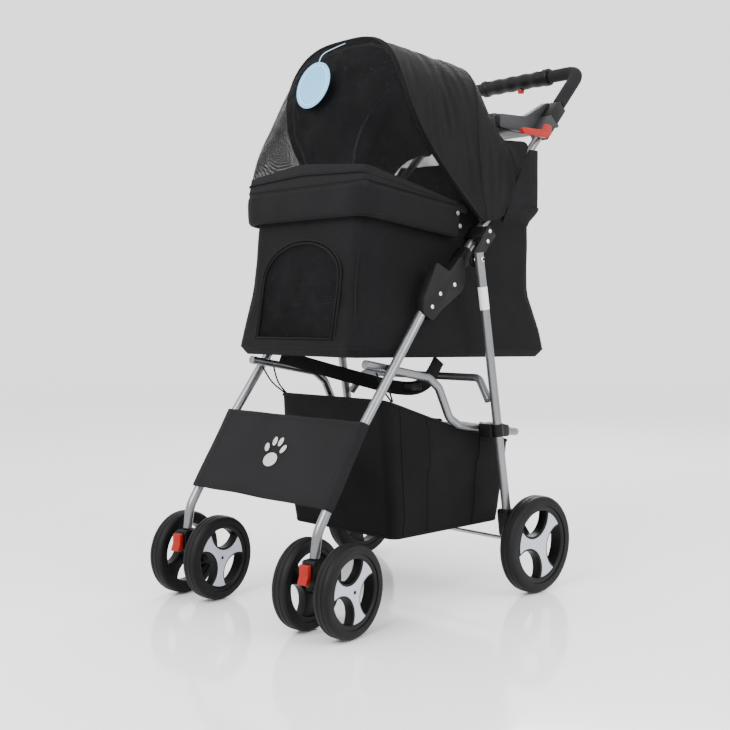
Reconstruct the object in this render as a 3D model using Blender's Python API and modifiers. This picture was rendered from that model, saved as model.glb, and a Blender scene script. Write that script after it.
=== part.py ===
"""Folding four-wheeled pet stroller, in metres, +Z up, front towards -Y.

The origin is on the floor under the middle of the stroller. Left is +X.
The rear legs stand on the floor. The handle turns about the leg pivots on
them, the front legs turn about the hinge at the handle's foot, and the side
rails turn about their pivots on the front legs.
"""

import math

import bmesh
import bpy
from mathutils import Matrix, Vector

# ---------------------------------------------------------------- driving sizes

GAP = 0.0003
TUBE_R = 0.008
RAIL_R = 0.0075
BRACE_R = 0.007

FRONT_LEG_X = 0.168
HANDLE_X = 0.150
REAR_LEG_X = 0.191
RAIL_X = 0.147

HANDLE_HINGE = Vector((0.0, -0.022, 0.551))
LEG_PIVOT = Vector((0.0, 0.019, 0.592))
RAIL_PIVOT = Vector((0.0, -0.169, 0.4085))
RAIL_CLIP = Vector((0.0, 0.086, 0.291))
HANDLE_RISE = math.radians(47.15)
HANDLE_LENGTH = 0.576
HANDLE_SPLIT = 0.428

FRONT_WHEEL_R = 0.073
FRONT_WHEEL_W = 0.028
TWIN_SPACING = 0.083
CASTER_STEM_Y = -0.340
CASTER_TRAIL = 0.0325
CASTER_TURN = math.radians(9)
CASTER_TOP_Z = 0.123

REAR_WHEEL_R = 0.0867
REAR_WHEEL_W = 0.030
REAR_WHEEL_X = 0.2256
REAR_WHEEL_Y = 0.137

FRONT_AXLE_R = 0.003
REAR_AXLE_R = 0.004
RUNNING = 0.0003
PIN_R = 0.003

CABIN_X = 0.1415
CABIN_WAIST_X = 0.1366
CABIN_WALL = 0.003
CABIN_FLOOR_Z = 0.430
CABIN_LOW_X = 0.150
CABIN_DROP = 0.010
MAT_LOW_Z = 0.436
CABIN_TOP_Z = 0.690
CANOPY_X = 0.168
CANOPY_WALL = 0.0025
HOOP_R = 0.0024
HOOP_X = 0.1618
BASKET_X = 0.1375
BASKET_FLOOR_Z = 0.1165
BASKET_WALL = 0.003

SIDES = (("left", 1.0), ("right", -1.0))

# ---------------------------------------------------------------- scene helpers

bpy.context.preferences.edit.use_global_undo = False
for old in list(bpy.data.objects):
    bpy.data.objects.remove(old)

PARTS = bpy.data.collections.new("pet_stroller")
CUTTERS = bpy.data.collections.new("cutters")
bpy.context.scene.collection.children.link(PARTS)
bpy.context.scene.collection.children.link(CUTTERS)
CUTTERS.hide_render = True


def material(name, colour, roughness, metallic=0.0):
    """A Principled material of one finish."""
    made = bpy.data.materials.new(name)
    made.use_nodes = True
    shader = made.node_tree.nodes["Principled BSDF"]
    shader.inputs["Base Color"].default_value = (*colour, 1.0)
    shader.inputs["Roughness"].default_value = roughness
    shader.inputs["Metallic"].default_value = metallic
    return made


SILVER = material("silver_paint", (0.52, 0.53, 0.55), 0.35, 0.8)
DARK_STEEL = material("dark_steel", (0.09, 0.09, 0.1), 0.4, 0.6)
BLACK_PLASTIC = material("black_plastic", (0.02, 0.02, 0.022), 0.5)
RED_PLASTIC = material("red_plastic", (0.55, 0.03, 0.02), 0.4)
RUBBER = material("black_rubber", (0.015, 0.015, 0.015), 0.8)
FOAM = material("black_foam", (0.012, 0.012, 0.013), 0.95)
FABRIC = material("black_oxford_cloth", (0.015, 0.015, 0.018), 0.9)
MESH_CLOTH = material("black_mesh_cloth", (0.03, 0.03, 0.03), 0.9)
CARD = material("pale_blue_card", (0.35, 0.6, 0.8), 0.6)


def place(name, mesh, finish, collection=PARTS):
    """A new object that holds the mesh, with its finish."""
    made = bpy.data.objects.new(name, mesh)
    collection.objects.link(made)
    if not mesh.materials:
        mesh.materials.append(finish)
    return made


def mesh_of(name, build):
    """A mesh that the function build makes in a bmesh."""
    bm = bmesh.new()
    build(bm)
    bmesh.ops.recalc_face_normals(bm, faces=bm.faces)
    mesh = bpy.data.meshes.new(name)
    bm.to_mesh(mesh)
    bm.free()
    return mesh


def baked(made, matrix=None):
    """The object's evaluated shape as a plain, welded mesh object of the same name."""
    bpy.context.view_layer.update()
    graph = bpy.context.evaluated_depsgraph_get()
    evaluated = made.evaluated_get(graph)
    mesh = bpy.data.meshes.new_from_object(evaluated, depsgraph=graph)
    bm = bmesh.new()
    bm.from_mesh(mesh)
    bm.transform(matrix or made.matrix_world)
    bmesh.ops.remove_doubles(bm, verts=bm.verts, dist=1e-6)
    bmesh.ops.recalc_face_normals(bm, faces=bm.faces)
    bm.to_mesh(mesh)
    bm.free()
    name = made.name
    finish = made.data.materials[0]
    collection = made.users_collection[0]
    bpy.data.objects.remove(made)
    mesh.materials.clear()
    mesh.materials.append(finish)
    return place(name, mesh, finish, collection)


def boolean(made, cutter, operation="DIFFERENCE"):
    """Cuts or joins the cutter to the object, and takes the cutter away."""
    change = made.modifiers.new(operation.lower(), "BOOLEAN")
    change.operation = operation
    change.object = cutter
    change.solver = "EXACT"
    result = baked(made)
    bpy.data.objects.remove(cutter)
    return result


def cutter_from(mesh):
    return place("cutter", mesh, BLACK_PLASTIC, CUTTERS)


def box_mesh(low, high, bevel=0.0):
    """A box between two corners, with its edges rounded by bevel."""
    low = Vector(low)
    high = Vector(high)

    def build(bm):
        bmesh.ops.create_cube(bm, size=1.0)
        bmesh.ops.scale(bm, vec=high - low, verts=bm.verts)
        bmesh.ops.translate(bm, vec=(low + high) / 2, verts=bm.verts)
        if bevel:
            bmesh.ops.bevel(bm, geom=bm.edges, offset=bevel, segments=2, affect="EDGES")

    return mesh_of("box", build)


def rod_mesh(start, end, radius, sides=20):
    """A straight round rod from start to end."""
    start = Vector(start)
    end = Vector(end)
    length = (end - start).length
    turn = Vector((0, 0, 1)).rotation_difference(end - start).to_matrix().to_4x4()
    where = Matrix.Translation((start + end) / 2) @ turn

    def build(bm):
        bmesh.ops.create_cone(
            bm, cap_ends=True, segments=sides, radius1=radius, radius2=radius, depth=length, matrix=where
        )

    return mesh_of("rod", build)


def rod(name, start, end, radius, finish, sides=20):
    return place(name, rod_mesh(start, end, radius, sides), finish)


def rounded_path(points, radius, steps=5):
    """The points with each inner corner replaced by an arc of up to this radius."""
    points = [Vector(p) for p in points]
    path = [points[0]]
    for before, corner, after in zip(points, points[1:], points[2:]):
        into = (before - corner).normalized()
        out = (after - corner).normalized()
        half = into.angle(out) / 2
        reach = min(radius / math.tan(half), 0.45 * (before - corner).length, 0.45 * (after - corner).length)
        start = corner + into * reach
        end = corner + out * reach
        for step in range(steps + 1):
            t = step / steps
            path.append((1 - t) ** 2 * start + 2 * t * (1 - t) * corner + t**2 * end)
    path.append(points[-1])
    return path


def tube(name, points, radius, finish, resolution=4):
    """A solid round bar along the points."""
    curve = bpy.data.curves.new(name, "CURVE")
    curve.dimensions = "3D"
    curve.bevel_depth = radius
    curve.bevel_resolution = resolution
    curve.use_fill_caps = True
    spline = curve.splines.new("POLY")
    spline.points.add(len(points) - 1)
    for point, where in zip(spline.points, points):
        point.co = (*where, 1.0)
    curve.materials.append(finish)
    made = bpy.data.objects.new(name, curve)
    PARTS.objects.link(made)
    return made


def plate(name, outline, low_x, high_x, finish, holes=()):
    """A flat plate whose outline is in Y and Z, between two X values, with round holes."""
    curve = bpy.data.curves.new(name, "CURVE")
    curve.dimensions = "2D"
    curve.fill_mode = "BOTH"
    curve.extrude = (high_x - low_x) / 2
    rings = [outline]
    for y, z, radius in holes:
        turns = [math.tau * i / HOLE_SIDES for i in range(HOLE_SIDES)]
        rings.append([(y + radius * math.cos(t), z + radius * math.sin(t)) for t in turns])
    for ring in rings:
        spline = curve.splines.new("POLY")
        spline.points.add(len(ring) - 1)
        spline.use_cyclic_u = True
        for point, (y, z) in zip(spline.points, ring):
            point.co = (y, z, 0.0, 1.0)
    curve.materials.append(finish)
    made = bpy.data.objects.new(name, curve)
    made.matrix_world = Matrix(((0, 0, 1, (low_x + high_x) / 2), (1, 0, 0, 0), (0, 1, 0, 0), (0, 0, 0, 1)))
    PARTS.objects.link(made)
    return baked(made, made.matrix_world)


HOLE_SIDES = 20


def rounded_outline(points, radius, steps=3):
    """A closed outline with its corners rounded."""
    closed = [points[-1], *points, points[0]]
    path = rounded_path([Vector((y, z, 0)) for y, z in closed], radius, steps)
    return [(p.x, p.y) for p in path[1:-1]]


def swept_band(name, points, across, width, thickness, finish):
    """A flat band along the points. across gives its width's direction at each point."""

    def build(bm):
        rings = []
        count = len(points)
        for i, point in enumerate(points):
            ahead = points[min(i + 1, count - 1)] - points[max(i - 1, 0)]
            wide = (across[i] - ahead.normalized() * across[i].dot(ahead.normalized())).normalized()
            thick = ahead.normalized().cross(wide)
            corners = ((-1, -1), (1, -1), (1, 1), (-1, 1))
            ring = [bm.verts.new(point + wide * a * width / 2 + thick * b * thickness / 2) for a, b in corners]
            rings.append(ring)
        for one, two in zip(rings, rings[1:]):
            for i in range(4):
                j = (i + 1) % 4
                bm.faces.new((one[i], one[j], two[j], two[i]))
        bm.faces.new(rings[0])
        bm.faces.new(rings[-1])

    return place(name, mesh_of(name, build), finish)


def grid_shell(name, rows, thickness, finish, offset=-1.0):
    """A sheet through rows of points, given a thickness."""

    def build(bm):
        verts = [[bm.verts.new(p) for p in row] for row in rows]
        for upper, lower in zip(verts, verts[1:]):
            for i in range(len(upper) - 1):
                bm.faces.new((upper[i], upper[i + 1], lower[i + 1], lower[i]))

    made = place(name, mesh_of(name, build), finish)
    wall = made.modifiers.new("wall", "SOLIDIFY")
    wall.thickness = thickness
    wall.offset = offset
    return made


def turned(name, profile, axis_point, finish, turn=0.0, steps=32):
    """A ring turned about X. The profile gives (x, radius) round its closed section."""

    def build(bm):
        rings = []
        for step in range(steps):
            angle = math.tau * step / steps
            rings.append([bm.verts.new((x, r * math.cos(angle), r * math.sin(angle))) for x, r in profile])
        for i, ring in enumerate(rings):
            after = rings[(i + 1) % steps]
            for j in range(len(profile)):
                k = (j + 1) % len(profile)
                bm.faces.new((ring[j], ring[k], after[k], after[j]))
        bmesh.ops.transform(
            bm, matrix=Matrix.Translation(axis_point) @ Matrix.Rotation(turn, 4, "Z"), verts=bm.verts
        )

    return place(name, mesh_of(name, build), finish)


def along_handle(distance, off=0.0, x=0.0):
    """A point on the handle's line, at a distance from its hinge and off it towards the front."""
    up = Vector((0, math.cos(HANDLE_RISE), math.sin(HANDLE_RISE)))
    front = Vector((0, -math.sin(HANDLE_RISE), math.cos(HANDLE_RISE)))
    return HANDLE_HINGE + up * distance + front * off + Vector((x, 0, 0))


def at_x(point, x):
    return Vector((x, point.y, point.z))


def handle_outline(corners):
    """Y and Z of corners given along and off the handle's line."""
    spots = [along_handle(s, n) for s, n in corners]
    return [(p.y, p.z) for p in spots]


def flip(points, side):
    return [Vector((p.x * side, p.y, p.z)) for p in points]


def x_range(side, low, high):
    """A pair of X values on one side, in rising order."""
    return tuple(sorted((side * low, side * high)))


# ---------------------------------------------------------------- rear frame

REAR_LEG_FOOT = Vector((0, 0.103, 0.115))
REAR_LEG_DIR = (LEG_PIVOT - REAR_LEG_FOOT).normalized()
CARRIER_IN = 0.180
CARRIER_OUT = 0.202
PEDAL_PIVOT = Vector((0, 0.128, 0.118))


def rear_leg(side_name, side):
    top = at_x(LEG_PIVOT + REAR_LEG_DIR * 0.012, side * REAR_LEG_X)
    foot = at_x(REAR_LEG_FOOT, side * REAR_LEG_X)
    leg = place(f"rear_leg_{side_name}", rod_mesh(foot, top, TUBE_R, 24), SILVER)
    hole = rod_mesh(
        at_x(LEG_PIVOT, side * (REAR_LEG_X - 0.02)), at_x(LEG_PIVOT, side * (REAR_LEG_X + 0.02)), PIN_R + RUNNING
    )
    leg = boolean(leg, cutter_from(hole))
    boolean(leg, rail_clip(side), "UNION")


def rear_wheel_carrier(side_name, side):
    """The moulded block that joins a rear leg to the axle and holds the brake pedal's pin."""
    outline = rounded_outline(
        [(0.083, 0.150), (0.111, 0.150), (0.130, 0.126), (0.152, 0.100), (0.154, 0.078), (0.137, 0.068),
         (0.120, 0.076), (0.090, 0.104)],
        0.006,
    )
    axle_hole = (REAR_WHEEL_Y, REAR_WHEEL_R, REAR_AXLE_R + GAP)
    low, high = x_range(side, CARRIER_IN, CARRIER_OUT)
    carrier = plate(f"rear_wheel_carrier_{side_name}", outline, low, high, BLACK_PLASTIC, [axle_hole])
    socket_end = at_x(REAR_LEG_FOOT - REAR_LEG_DIR * GAP, side * REAR_LEG_X)
    socket = rod_mesh(socket_end, socket_end + REAR_LEG_DIR * 0.08, TUBE_R + GAP, 24)
    carrier = boolean(carrier, cutter_from(socket))
    pin = rod_mesh(at_x(PEDAL_PIVOT, side * 0.167), at_x(PEDAL_PIVOT, side * (CARRIER_IN + 0.002)), PIN_R)
    boolean(carrier, cutter_from(pin), "UNION")


def brake_pedal(side_name, side):
    y, z = PEDAL_PIVOT.y, PEDAL_PIVOT.z
    outline = rounded_outline(
        [(y - 0.008, z - 0.007), (y + 0.012, z - 0.006), (y + 0.040, z + 0.004), (y + 0.046, z + 0.013),
         (y + 0.030, z + 0.010), (y + 0.008, z + 0.008), (y - 0.008, z + 0.007)],
        0.003,
    )
    low, high = x_range(side, 0.166, CARRIER_IN - GAP)
    plate(f"brake_pedal_{side_name}", outline, low, high, RED_PLASTIC, [(y, z, PIN_R + RUNNING)])


def rail_clip(side):
    """The block fixed inside a rear leg, which the side rail rests against."""
    y, z = RAIL_CLIP.y, RAIL_CLIP.z
    outline = rounded_outline(
        [(y - 0.026, z - 0.012), (y + 0.026, z - 0.012), (y + 0.026, z + 0.008), (y, z + 0.014),
         (y - 0.026, z + 0.012)],
        0.004,
    )
    low, high = x_range(side, RAIL_X + RAIL_R + 0.0008, REAR_LEG_X - TUBE_R + 0.003)
    return plate("rail_clip", outline, low, high, BLACK_PLASTIC)


def rear_cross_brace():
    corner = Vector((0.147, 0.071, 0.384))
    foot = Vector((0.1765, 0.0630, 0.345))
    half = [foot, corner]
    points = half + flip(reversed(half), -1)
    tube("rear_cross_brace", rounded_path(points, 0.02, 4), BRACE_R, DARK_STEEL, 3)


def rear_axle():
    reach = REAR_WHEEL_X + REAR_WHEEL_W / 2 - 0.002
    y, z = REAR_WHEEL_Y, REAR_WHEEL_R
    rod("rear_axle", (-reach, y, z), (reach, y, z), REAR_AXLE_R, SILVER, 16)


# ---------------------------------------------------------------- wheels

SPOKE_COUNT = 3
WHEEL_SIDES = 32
RIM_SIDES = 16


def tyre(name, centre, radius, width, turn):
    """A wide flat tread with rounded shoulders."""
    half = width / 2
    inner = radius * 0.80
    profile = [
        (-half, inner), (half, inner), (half, radius * 0.945), (half * 0.65, radius), (-half * 0.65, radius),
        (-half, radius * 0.945),
    ]
    return turned(name, profile, centre, RUBBER, turn, WHEEL_SIDES)


def wheel_rim(name, centre, radius, width, bore, hub_in, hub_out, turn):
    """A rim with a hub and three wide spokes, cut from a turned disc."""
    outer = radius * 0.80 * math.cos(math.pi / WHEEL_SIDES) - GAP
    ring = radius * 0.70
    hub = radius * 0.20
    half = width / 2
    web = width * 0.16
    profile = [
        (-half * 0.9, outer), (-half * 0.9, ring), (-web, ring * 0.97), (-web, hub), (-hub_in, hub), (-hub_in, bore),
        (hub_out, bore), (hub_out, hub), (web, hub), (web, ring * 0.97), (half * 0.9, ring), (half * 0.9, outer),
    ]
    rim = turned(name, profile, Vector((0, 0, 0)), BLACK_PLASTIC, 0.0, RIM_SIDES)
    for spoke in range(SPOKE_COUNT):
        middle = math.tau * (spoke + 0.5) / SPOKE_COUNT + math.pi / 2
        window = [(ring * 0.90, -0.74), (ring * 0.90, -0.37), (ring * 0.90, 0.0), (ring * 0.90, 0.37), (ring * 0.90, 0.74)]
        window += [(hub * 1.5, 0.50), (hub * 1.5, -0.50)]
        outline = [(r * math.cos(middle + a), r * math.sin(middle + a)) for r, a in window]
        opening = plate("opening", outline, -width, width, BLACK_PLASTIC)
        rim = boolean(rim, opening)
    where = Matrix.Translation(centre) @ Matrix.Rotation(turn, 4, "Z")
    rim.data.transform(where)
    return rim


def rear_wheel(side_name, side):
    centre = Vector((side * REAR_WHEEL_X, REAR_WHEEL_Y, REAR_WHEEL_R))
    turn = 0.0 if side > 0 else math.pi
    tyre(f"rear_tyre_{side_name}", centre, REAR_WHEEL_R, REAR_WHEEL_W, turn)
    hub_in = REAR_WHEEL_X - CARRIER_OUT - 0.0015
    hub_out = REAR_WHEEL_W / 2 - 0.002
    wheel_rim(
        f"rear_rim_{side_name}", centre, REAR_WHEEL_R, REAR_WHEEL_W, REAR_AXLE_R + RUNNING, hub_in, hub_out, turn
    )


# ---------------------------------------------------------------- casters

FORK_HALF = 0.012
STEM_PIN_R = 0.0045
STEM_PIN_TOP = 0.148
LOCK_PIVOT = Vector((0, -0.0225, 0.114))


def caster_frame(side):
    """The turn and place of a caster, with its stem's foot on the floor as origin."""
    where = Matrix.Translation((side * FRONT_LEG_X, CASTER_STEM_Y, 0))
    return where @ Matrix.Rotation(CASTER_TURN, 4, "Z")


def caster_fork(side_name, side):
    """The swivelling block between a pair of front wheels, with its stem pin and its axle."""
    outline = rounded_outline(
        [(-0.016, 0.086), (-0.016, CASTER_TOP_Z - GAP), (0.016, CASTER_TOP_Z - GAP), (0.030, 0.096),
         (0.046, 0.082), (0.046, 0.064), (0.034, 0.057), (0.020, 0.062)],
        0.005,
    )
    fork = plate(f"caster_fork_{side_name}", outline, -FORK_HALF, FORK_HALF, BLACK_PLASTIC)
    pin = rod_mesh((0, 0, CASTER_TOP_Z - 0.006), (0, 0, STEM_PIN_TOP), STEM_PIN_R)
    fork = boolean(fork, cutter_from(pin), "UNION")
    reach = TWIN_SPACING / 2 + FRONT_WHEEL_W / 2 - 0.002
    y, z = CASTER_TRAIL, FRONT_WHEEL_R
    axle = rod_mesh((-reach, y, z), (reach, y, z), FRONT_AXLE_R, 16)
    fork = boolean(fork, cutter_from(axle), "UNION")
    fork.data.transform(caster_frame(side))


def caster_lock(side_name, side):
    """The red swivel lock that tips on the front of a caster fork."""
    y, z = LOCK_PIVOT.y, LOCK_PIVOT.z
    outline = rounded_outline(
        [(y - 0.0045, z + 0.004), (y + 0.0042, z + 0.004), (y + 0.0042, z - 0.022), (y - 0.004, z - 0.027),
         (y - 0.010, z - 0.025), (y - 0.0045, z - 0.012)],
        0.002,
    )
    lock = plate(f"caster_lock_{side_name}", outline, -0.009, 0.009, RED_PLASTIC)
    lock.data.transform(caster_frame(side))


def front_wheel_pair(side_name, side):
    frame = caster_frame(side)
    for place_name, out in (("outer", side), ("inner", -side)):
        centre = frame @ Vector((out * TWIN_SPACING / 2, CASTER_TRAIL, FRONT_WHEEL_R))
        turn = CASTER_TURN + (0.0 if out > 0 else math.pi)
        name = f"{side_name}_{place_name}"
        tyre(f"front_tyre_{name}", centre, FRONT_WHEEL_R, FRONT_WHEEL_W, turn)
        hub_in = TWIN_SPACING / 2 - FORK_HALF - 0.001
        hub_out = FRONT_WHEEL_W / 2 - 0.002
        wheel_rim(
            f"front_rim_{name}", centre, FRONT_WHEEL_R, FRONT_WHEEL_W, FRONT_AXLE_R + RUNNING, hub_in, hub_out, turn
        )


# ---------------------------------------------------------------- front frame

LEG_BEND = Vector((0, -0.334, 0.162))
LEG_KNEE = Vector((0, -0.235, 0.322))
LEG_TOP = Vector((0, -0.097, 0.505))
LEG_FOOT = Vector((0, CASTER_STEM_Y, CASTER_TOP_Z + 0.0014))
FIN_IN = 0.1618
FIN_OUT = 0.1780


def front_leg_points(side):
    spots = [LEG_FOOT, LEG_BEND, LEG_KNEE, LEG_TOP]
    return rounded_path([at_x(p, side * FRONT_LEG_X) for p in spots], 0.06, 3)


def front_leg(side_name, side):
    leg = baked(tube(f"front_leg_{side_name}", front_leg_points(side), TUBE_R, SILVER, 4))
    foot = at_x(LEG_FOOT, side * FRONT_LEG_X)
    bore = rod_mesh(foot - Vector((0, 0, 0.01)), (foot.x, foot.y, STEM_PIN_TOP + 0.001), STEM_PIN_R + RUNNING)
    leg = boolean(leg, cutter_from(bore))
    boss_start = at_x(RAIL_PIVOT, side * (RAIL_X + RAIL_R + GAP))
    boss = rod_mesh(boss_start, at_x(RAIL_PIVOT, side * FRONT_LEG_X), 0.006)
    boolean(leg, cutter_from(boss), "UNION")


def lower_bracket(side_name, side):
    """The finned block that caps a front leg and carries the handle's hinge pin."""
    y, z = HANDLE_HINGE.y, HANDLE_HINGE.z
    outline = rounded_outline(
        [(-0.109, 0.500), (-0.105, 0.522), (-0.075, 0.585), (-0.043, 0.570), (-0.014, 0.597), (-0.004, 0.588),
         (y + 0.020, z + 0.004), (y + 0.012, z - 0.014), (-0.064, 0.504), (-0.085, 0.486)],
        0.006,
    )
    low, high = x_range(side, FIN_IN, FIN_OUT)
    bracket = plate(f"lower_bracket_{side_name}", outline, low, high, BLACK_PLASTIC)
    top = at_x(LEG_TOP, side * FRONT_LEG_X)
    leg_dir = (LEG_TOP - LEG_KNEE).normalized()
    socket = rod_mesh(top - leg_dir * 0.06, top + leg_dir * GAP, TUBE_R + GAP, 24)
    bracket = boolean(bracket, cutter_from(socket))
    pin = rod_mesh(
        at_x(HANDLE_HINGE, side * (HANDLE_X - TUBE_R - 0.002)), at_x(HANDLE_HINGE, side * (FIN_IN + 0.003)), PIN_R
    )
    boolean(bracket, cutter_from(pin), "UNION")


def footrest_panel():
    """The cloth panel that wraps over both front legs."""
    drop = (LEG_KNEE - LEG_BEND).normalized()
    front = Vector((0, -drop.z, drop.y))
    low = LEG_BEND + drop * 0.036 + front * (TUBE_R + 0.0014)
    high = LEG_KNEE + front * (TUBE_R + 0.0014)
    half = FRONT_LEG_X + 0.0105
    rows = []
    for t in (0.0, 1.0):
        middle = low.lerp(high, t)
        back = middle - front * 0.012
        row = [at_x(back, -half), at_x(middle, -half + 0.004), at_x(middle, half - 0.004), at_x(back, half)]
        rows.append(row)
    grid_shell("footrest_panel", rows, 0.002, FABRIC, offset=0.0)


def footrest_rod():
    spot = LEG_BEND.lerp(LEG_KNEE, 0.27)
    reach = FRONT_LEG_X - TUBE_R - GAP
    rod("footrest_rod", at_x(spot, -reach), at_x(spot, reach), 0.004, SILVER, 16)


# ---------------------------------------------------------------- side rails and basket


def side_rails():
    """One tube: along the left side, across behind the rear legs and back along the right."""
    left = [
        Vector((RAIL_X, y, z))
        for y, z in (
            (-0.213, 0.4165), (-0.156, 0.4065), (-0.061, 0.389), (-0.036, 0.371), (-0.008, 0.317),
            (0.016, 0.303), (0.189, 0.278),
        )
    ]
    points = left + flip(reversed(left), -1)
    tube("side_rails", rounded_path(points, 0.024, 3), RAIL_R, SILVER, 2)


def basket():
    """An open-topped cloth basket, hung between the side rails."""
    floor_ring = [(-0.130, -0.120), (-0.124, -0.128), (0.124, -0.128), (0.130, -0.120), (0.130, 0.142), (0.124, 0.149),
                  (-0.124, 0.149), (-0.130, 0.142)]
    rim = {-0.128: (-0.155, 0.352), -0.120: (-0.148, 0.347), 0.142: (0.166, 0.262), 0.149: (0.173, 0.261)}
    middle_rim = (0.006, 0.300)

    def build(bm):
        low = []
        high = []
        for i, (x, y) in enumerate(floor_ring):
            top_y, top_z = rim[y]
            top_x = x * BASKET_X / 0.130
            low.append(bm.verts.new((x, y, BASKET_FLOOR_Z)))
            high.append(bm.verts.new((top_x, top_y, top_z)))
            after = floor_ring[(i + 1) % len(floor_ring)]
            if abs(after[0] - x) < 1e-6 and abs(after[1] - y) > 0.1:
                low.append(bm.verts.new((x, 0.0, BASKET_FLOOR_Z)))
                high.append(bm.verts.new((top_x, *middle_rim)))
        count = len(low)
        for i in range(count):
            j = (i + 1) % count
            bm.faces.new((low[i], low[j], high[j], high[i]))
        bm.faces.new(low)

    made = place("basket", mesh_of("basket", build), FABRIC)
    wall = made.modifiers.new("wall", "SOLIDIFY")
    wall.thickness = BASKET_WALL
    wall.offset = 1.0 if inward_faces(made.data) else -1.0


def inward_faces(mesh):
    """True if the open shell's normals point to its middle."""
    middle = sum((v.co for v in mesh.vertices), Vector()) / len(mesh.vertices)
    side = sum((f.center - middle).dot(f.normal) * f.area for f in mesh.polygons)
    return side < 0


# ---------------------------------------------------------------- handle

SLEEVE_FROM = 0.047
SLEEVE_TO = 0.078
BLOCK_FROM = 0.100
BLOCK_TO = 0.128
PLATE_IN = 0.1786
PLATE_OUT = 0.1822
KNUCKLE_HALF = 0.0125
FOLD_AXIS_OFF = -0.0135


def handle_tube(side_name, side):
    low = along_handle(-0.012, 0, side * HANDLE_X)
    high = along_handle(HANDLE_SPLIT - 0.020, 0, side * HANDLE_X)
    made = place(f"handle_tube_{side_name}", rod_mesh(low, high, TUBE_R, 24), SILVER)
    reach = 0.02
    hole = rod_mesh(
        at_x(HANDLE_HINGE, side * (HANDLE_X - reach)), at_x(HANDLE_HINGE, side * (HANDLE_X + reach)), PIN_R + RUNNING
    )
    boolean(made, cutter_from(hole))


def bored_block(name, start, end, half, x_low, x_high, side, bore_r):
    """A block on the handle's line with a bore for its tube."""
    outline = rounded_outline(handle_outline([(start, -half), (end, -half), (end, half), (start, half)]), 0.003)
    low, high = x_range(side, x_low, x_high)
    block = plate(name, outline, low, high, BLACK_PLASTIC)
    x = side * HANDLE_X
    bore = rod_mesh(along_handle(start - 0.02, 0, x), along_handle(end + 0.02, 0, x), bore_r, 24)
    return boolean(block, cutter_from(bore))


def latch_sleeve(side_name, side):
    """The sleeve that slides on the handle tube and locks the hinge."""
    reach = 0.0115
    bored_block(
        f"latch_sleeve_{side_name}", SLEEVE_FROM, SLEEVE_TO, reach, HANDLE_X - reach, HANDLE_X + reach, side,
        TUBE_R + GAP,
    )


def upper_bracket(side_name, side):
    """The clamp on the handle tube, with the plate and pin that hold a rear leg's top."""
    block = bored_block(
        f"upper_bracket_{side_name}", BLOCK_FROM, BLOCK_TO, 0.0125, HANDLE_X - 0.0125, PLATE_OUT, side, TUBE_R + GAP
    )
    reach = (LEG_PIVOT - HANDLE_HINGE).length
    outline = rounded_outline(
        handle_outline([(reach - 0.012, -0.012), (BLOCK_FROM + 0.004, -0.0115), (BLOCK_FROM + 0.004, 0.0115),
                        (reach - 0.012, 0.008)]),
        0.006,
    )
    low, high = x_range(side, PLATE_IN, PLATE_OUT)
    cheek = plate("cheek", outline, low, high, BLACK_PLASTIC)
    block = boolean(block, cheek, "UNION")
    pin = rod_mesh(
        at_x(LEG_PIVOT, side * (PLATE_IN + 0.001)), at_x(LEG_PIVOT, side * (REAR_LEG_X + TUBE_R + 0.002)), PIN_R
    )
    boolean(block, cutter_from(pin), "UNION")


def lower_knuckle(side):
    """The tray's block at the top of a fixed handle tube, with the barrel that the grip folds about."""
    half = KNUCKLE_HALF
    x = side * HANDLE_X
    corners = handle_outline([(0.385, -half), (HANDLE_SPLIT, -half), (HANDLE_SPLIT, half), (0.385, half)])
    low, high = x_range(side, HANDLE_X - half, HANDLE_X + half)
    block = plate("knuckle", rounded_outline(corners, 0.002), low, high, BLACK_PLASTIC)
    bore = rod_mesh(along_handle(0.36, 0, x), along_handle(HANDLE_SPLIT - 0.020 + GAP, 0, x), TUBE_R + GAP, 24)
    block = boolean(block, cutter_from(bore))
    barrel = rod_mesh(
        along_handle(HANDLE_SPLIT, FOLD_AXIS_OFF, side * (HANDLE_X - half)),
        along_handle(HANDLE_SPLIT, FOLD_AXIS_OFF, side * (HANDLE_X + half)),
        0.0045,
    )
    return boolean(block, cutter_from(barrel), "UNION")


def upper_knuckle(side_name, side):
    """The block at the foot of the folding grip frame, hollowed round the barrel."""
    half = KNUCKLE_HALF
    start = HANDLE_SPLIT + GAP
    block = plate(
        f"grip_knuckle_{side_name}",
        rounded_outline(handle_outline([(start, -half), (start + 0.040, -half), (start + 0.040, half), (start, half)]),
                        0.002),
        *x_range(side, HANDLE_X - half, HANDLE_X + half),
        BLACK_PLASTIC,
    )
    x = side * HANDLE_X
    bore = rod_mesh(along_handle(start + 0.012, 0, x), along_handle(start + 0.08, 0, x), TUBE_R + GAP, 24)
    block = boolean(block, cutter_from(bore))
    hollow = rod_mesh(
        along_handle(HANDLE_SPLIT, FOLD_AXIS_OFF, side * (HANDLE_X - 0.03)),
        along_handle(HANDLE_SPLIT, FOLD_AXIS_OFF, side * (HANDLE_X + 0.03)),
        0.0045 + GAP,
    )
    boolean(block, cutter_from(hollow))


def grip_points():
    """The grip frame's tube, from the left knuckle round to the right one."""
    foot = along_handle(HANDLE_SPLIT + 0.013, 0, HANDLE_X)
    corner = along_handle(HANDLE_LENGTH, 0, HANDLE_X)
    return rounded_path([foot, corner, *flip([corner, foot], -1)], 0.034, 5)


def grip_frame():
    tube("grip_frame", grip_points(), TUBE_R, SILVER, 4)


FOAM_R = 0.0125
GRIP_LOW_X = -0.092
GRIP_HIGH_X = 0.078


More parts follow.
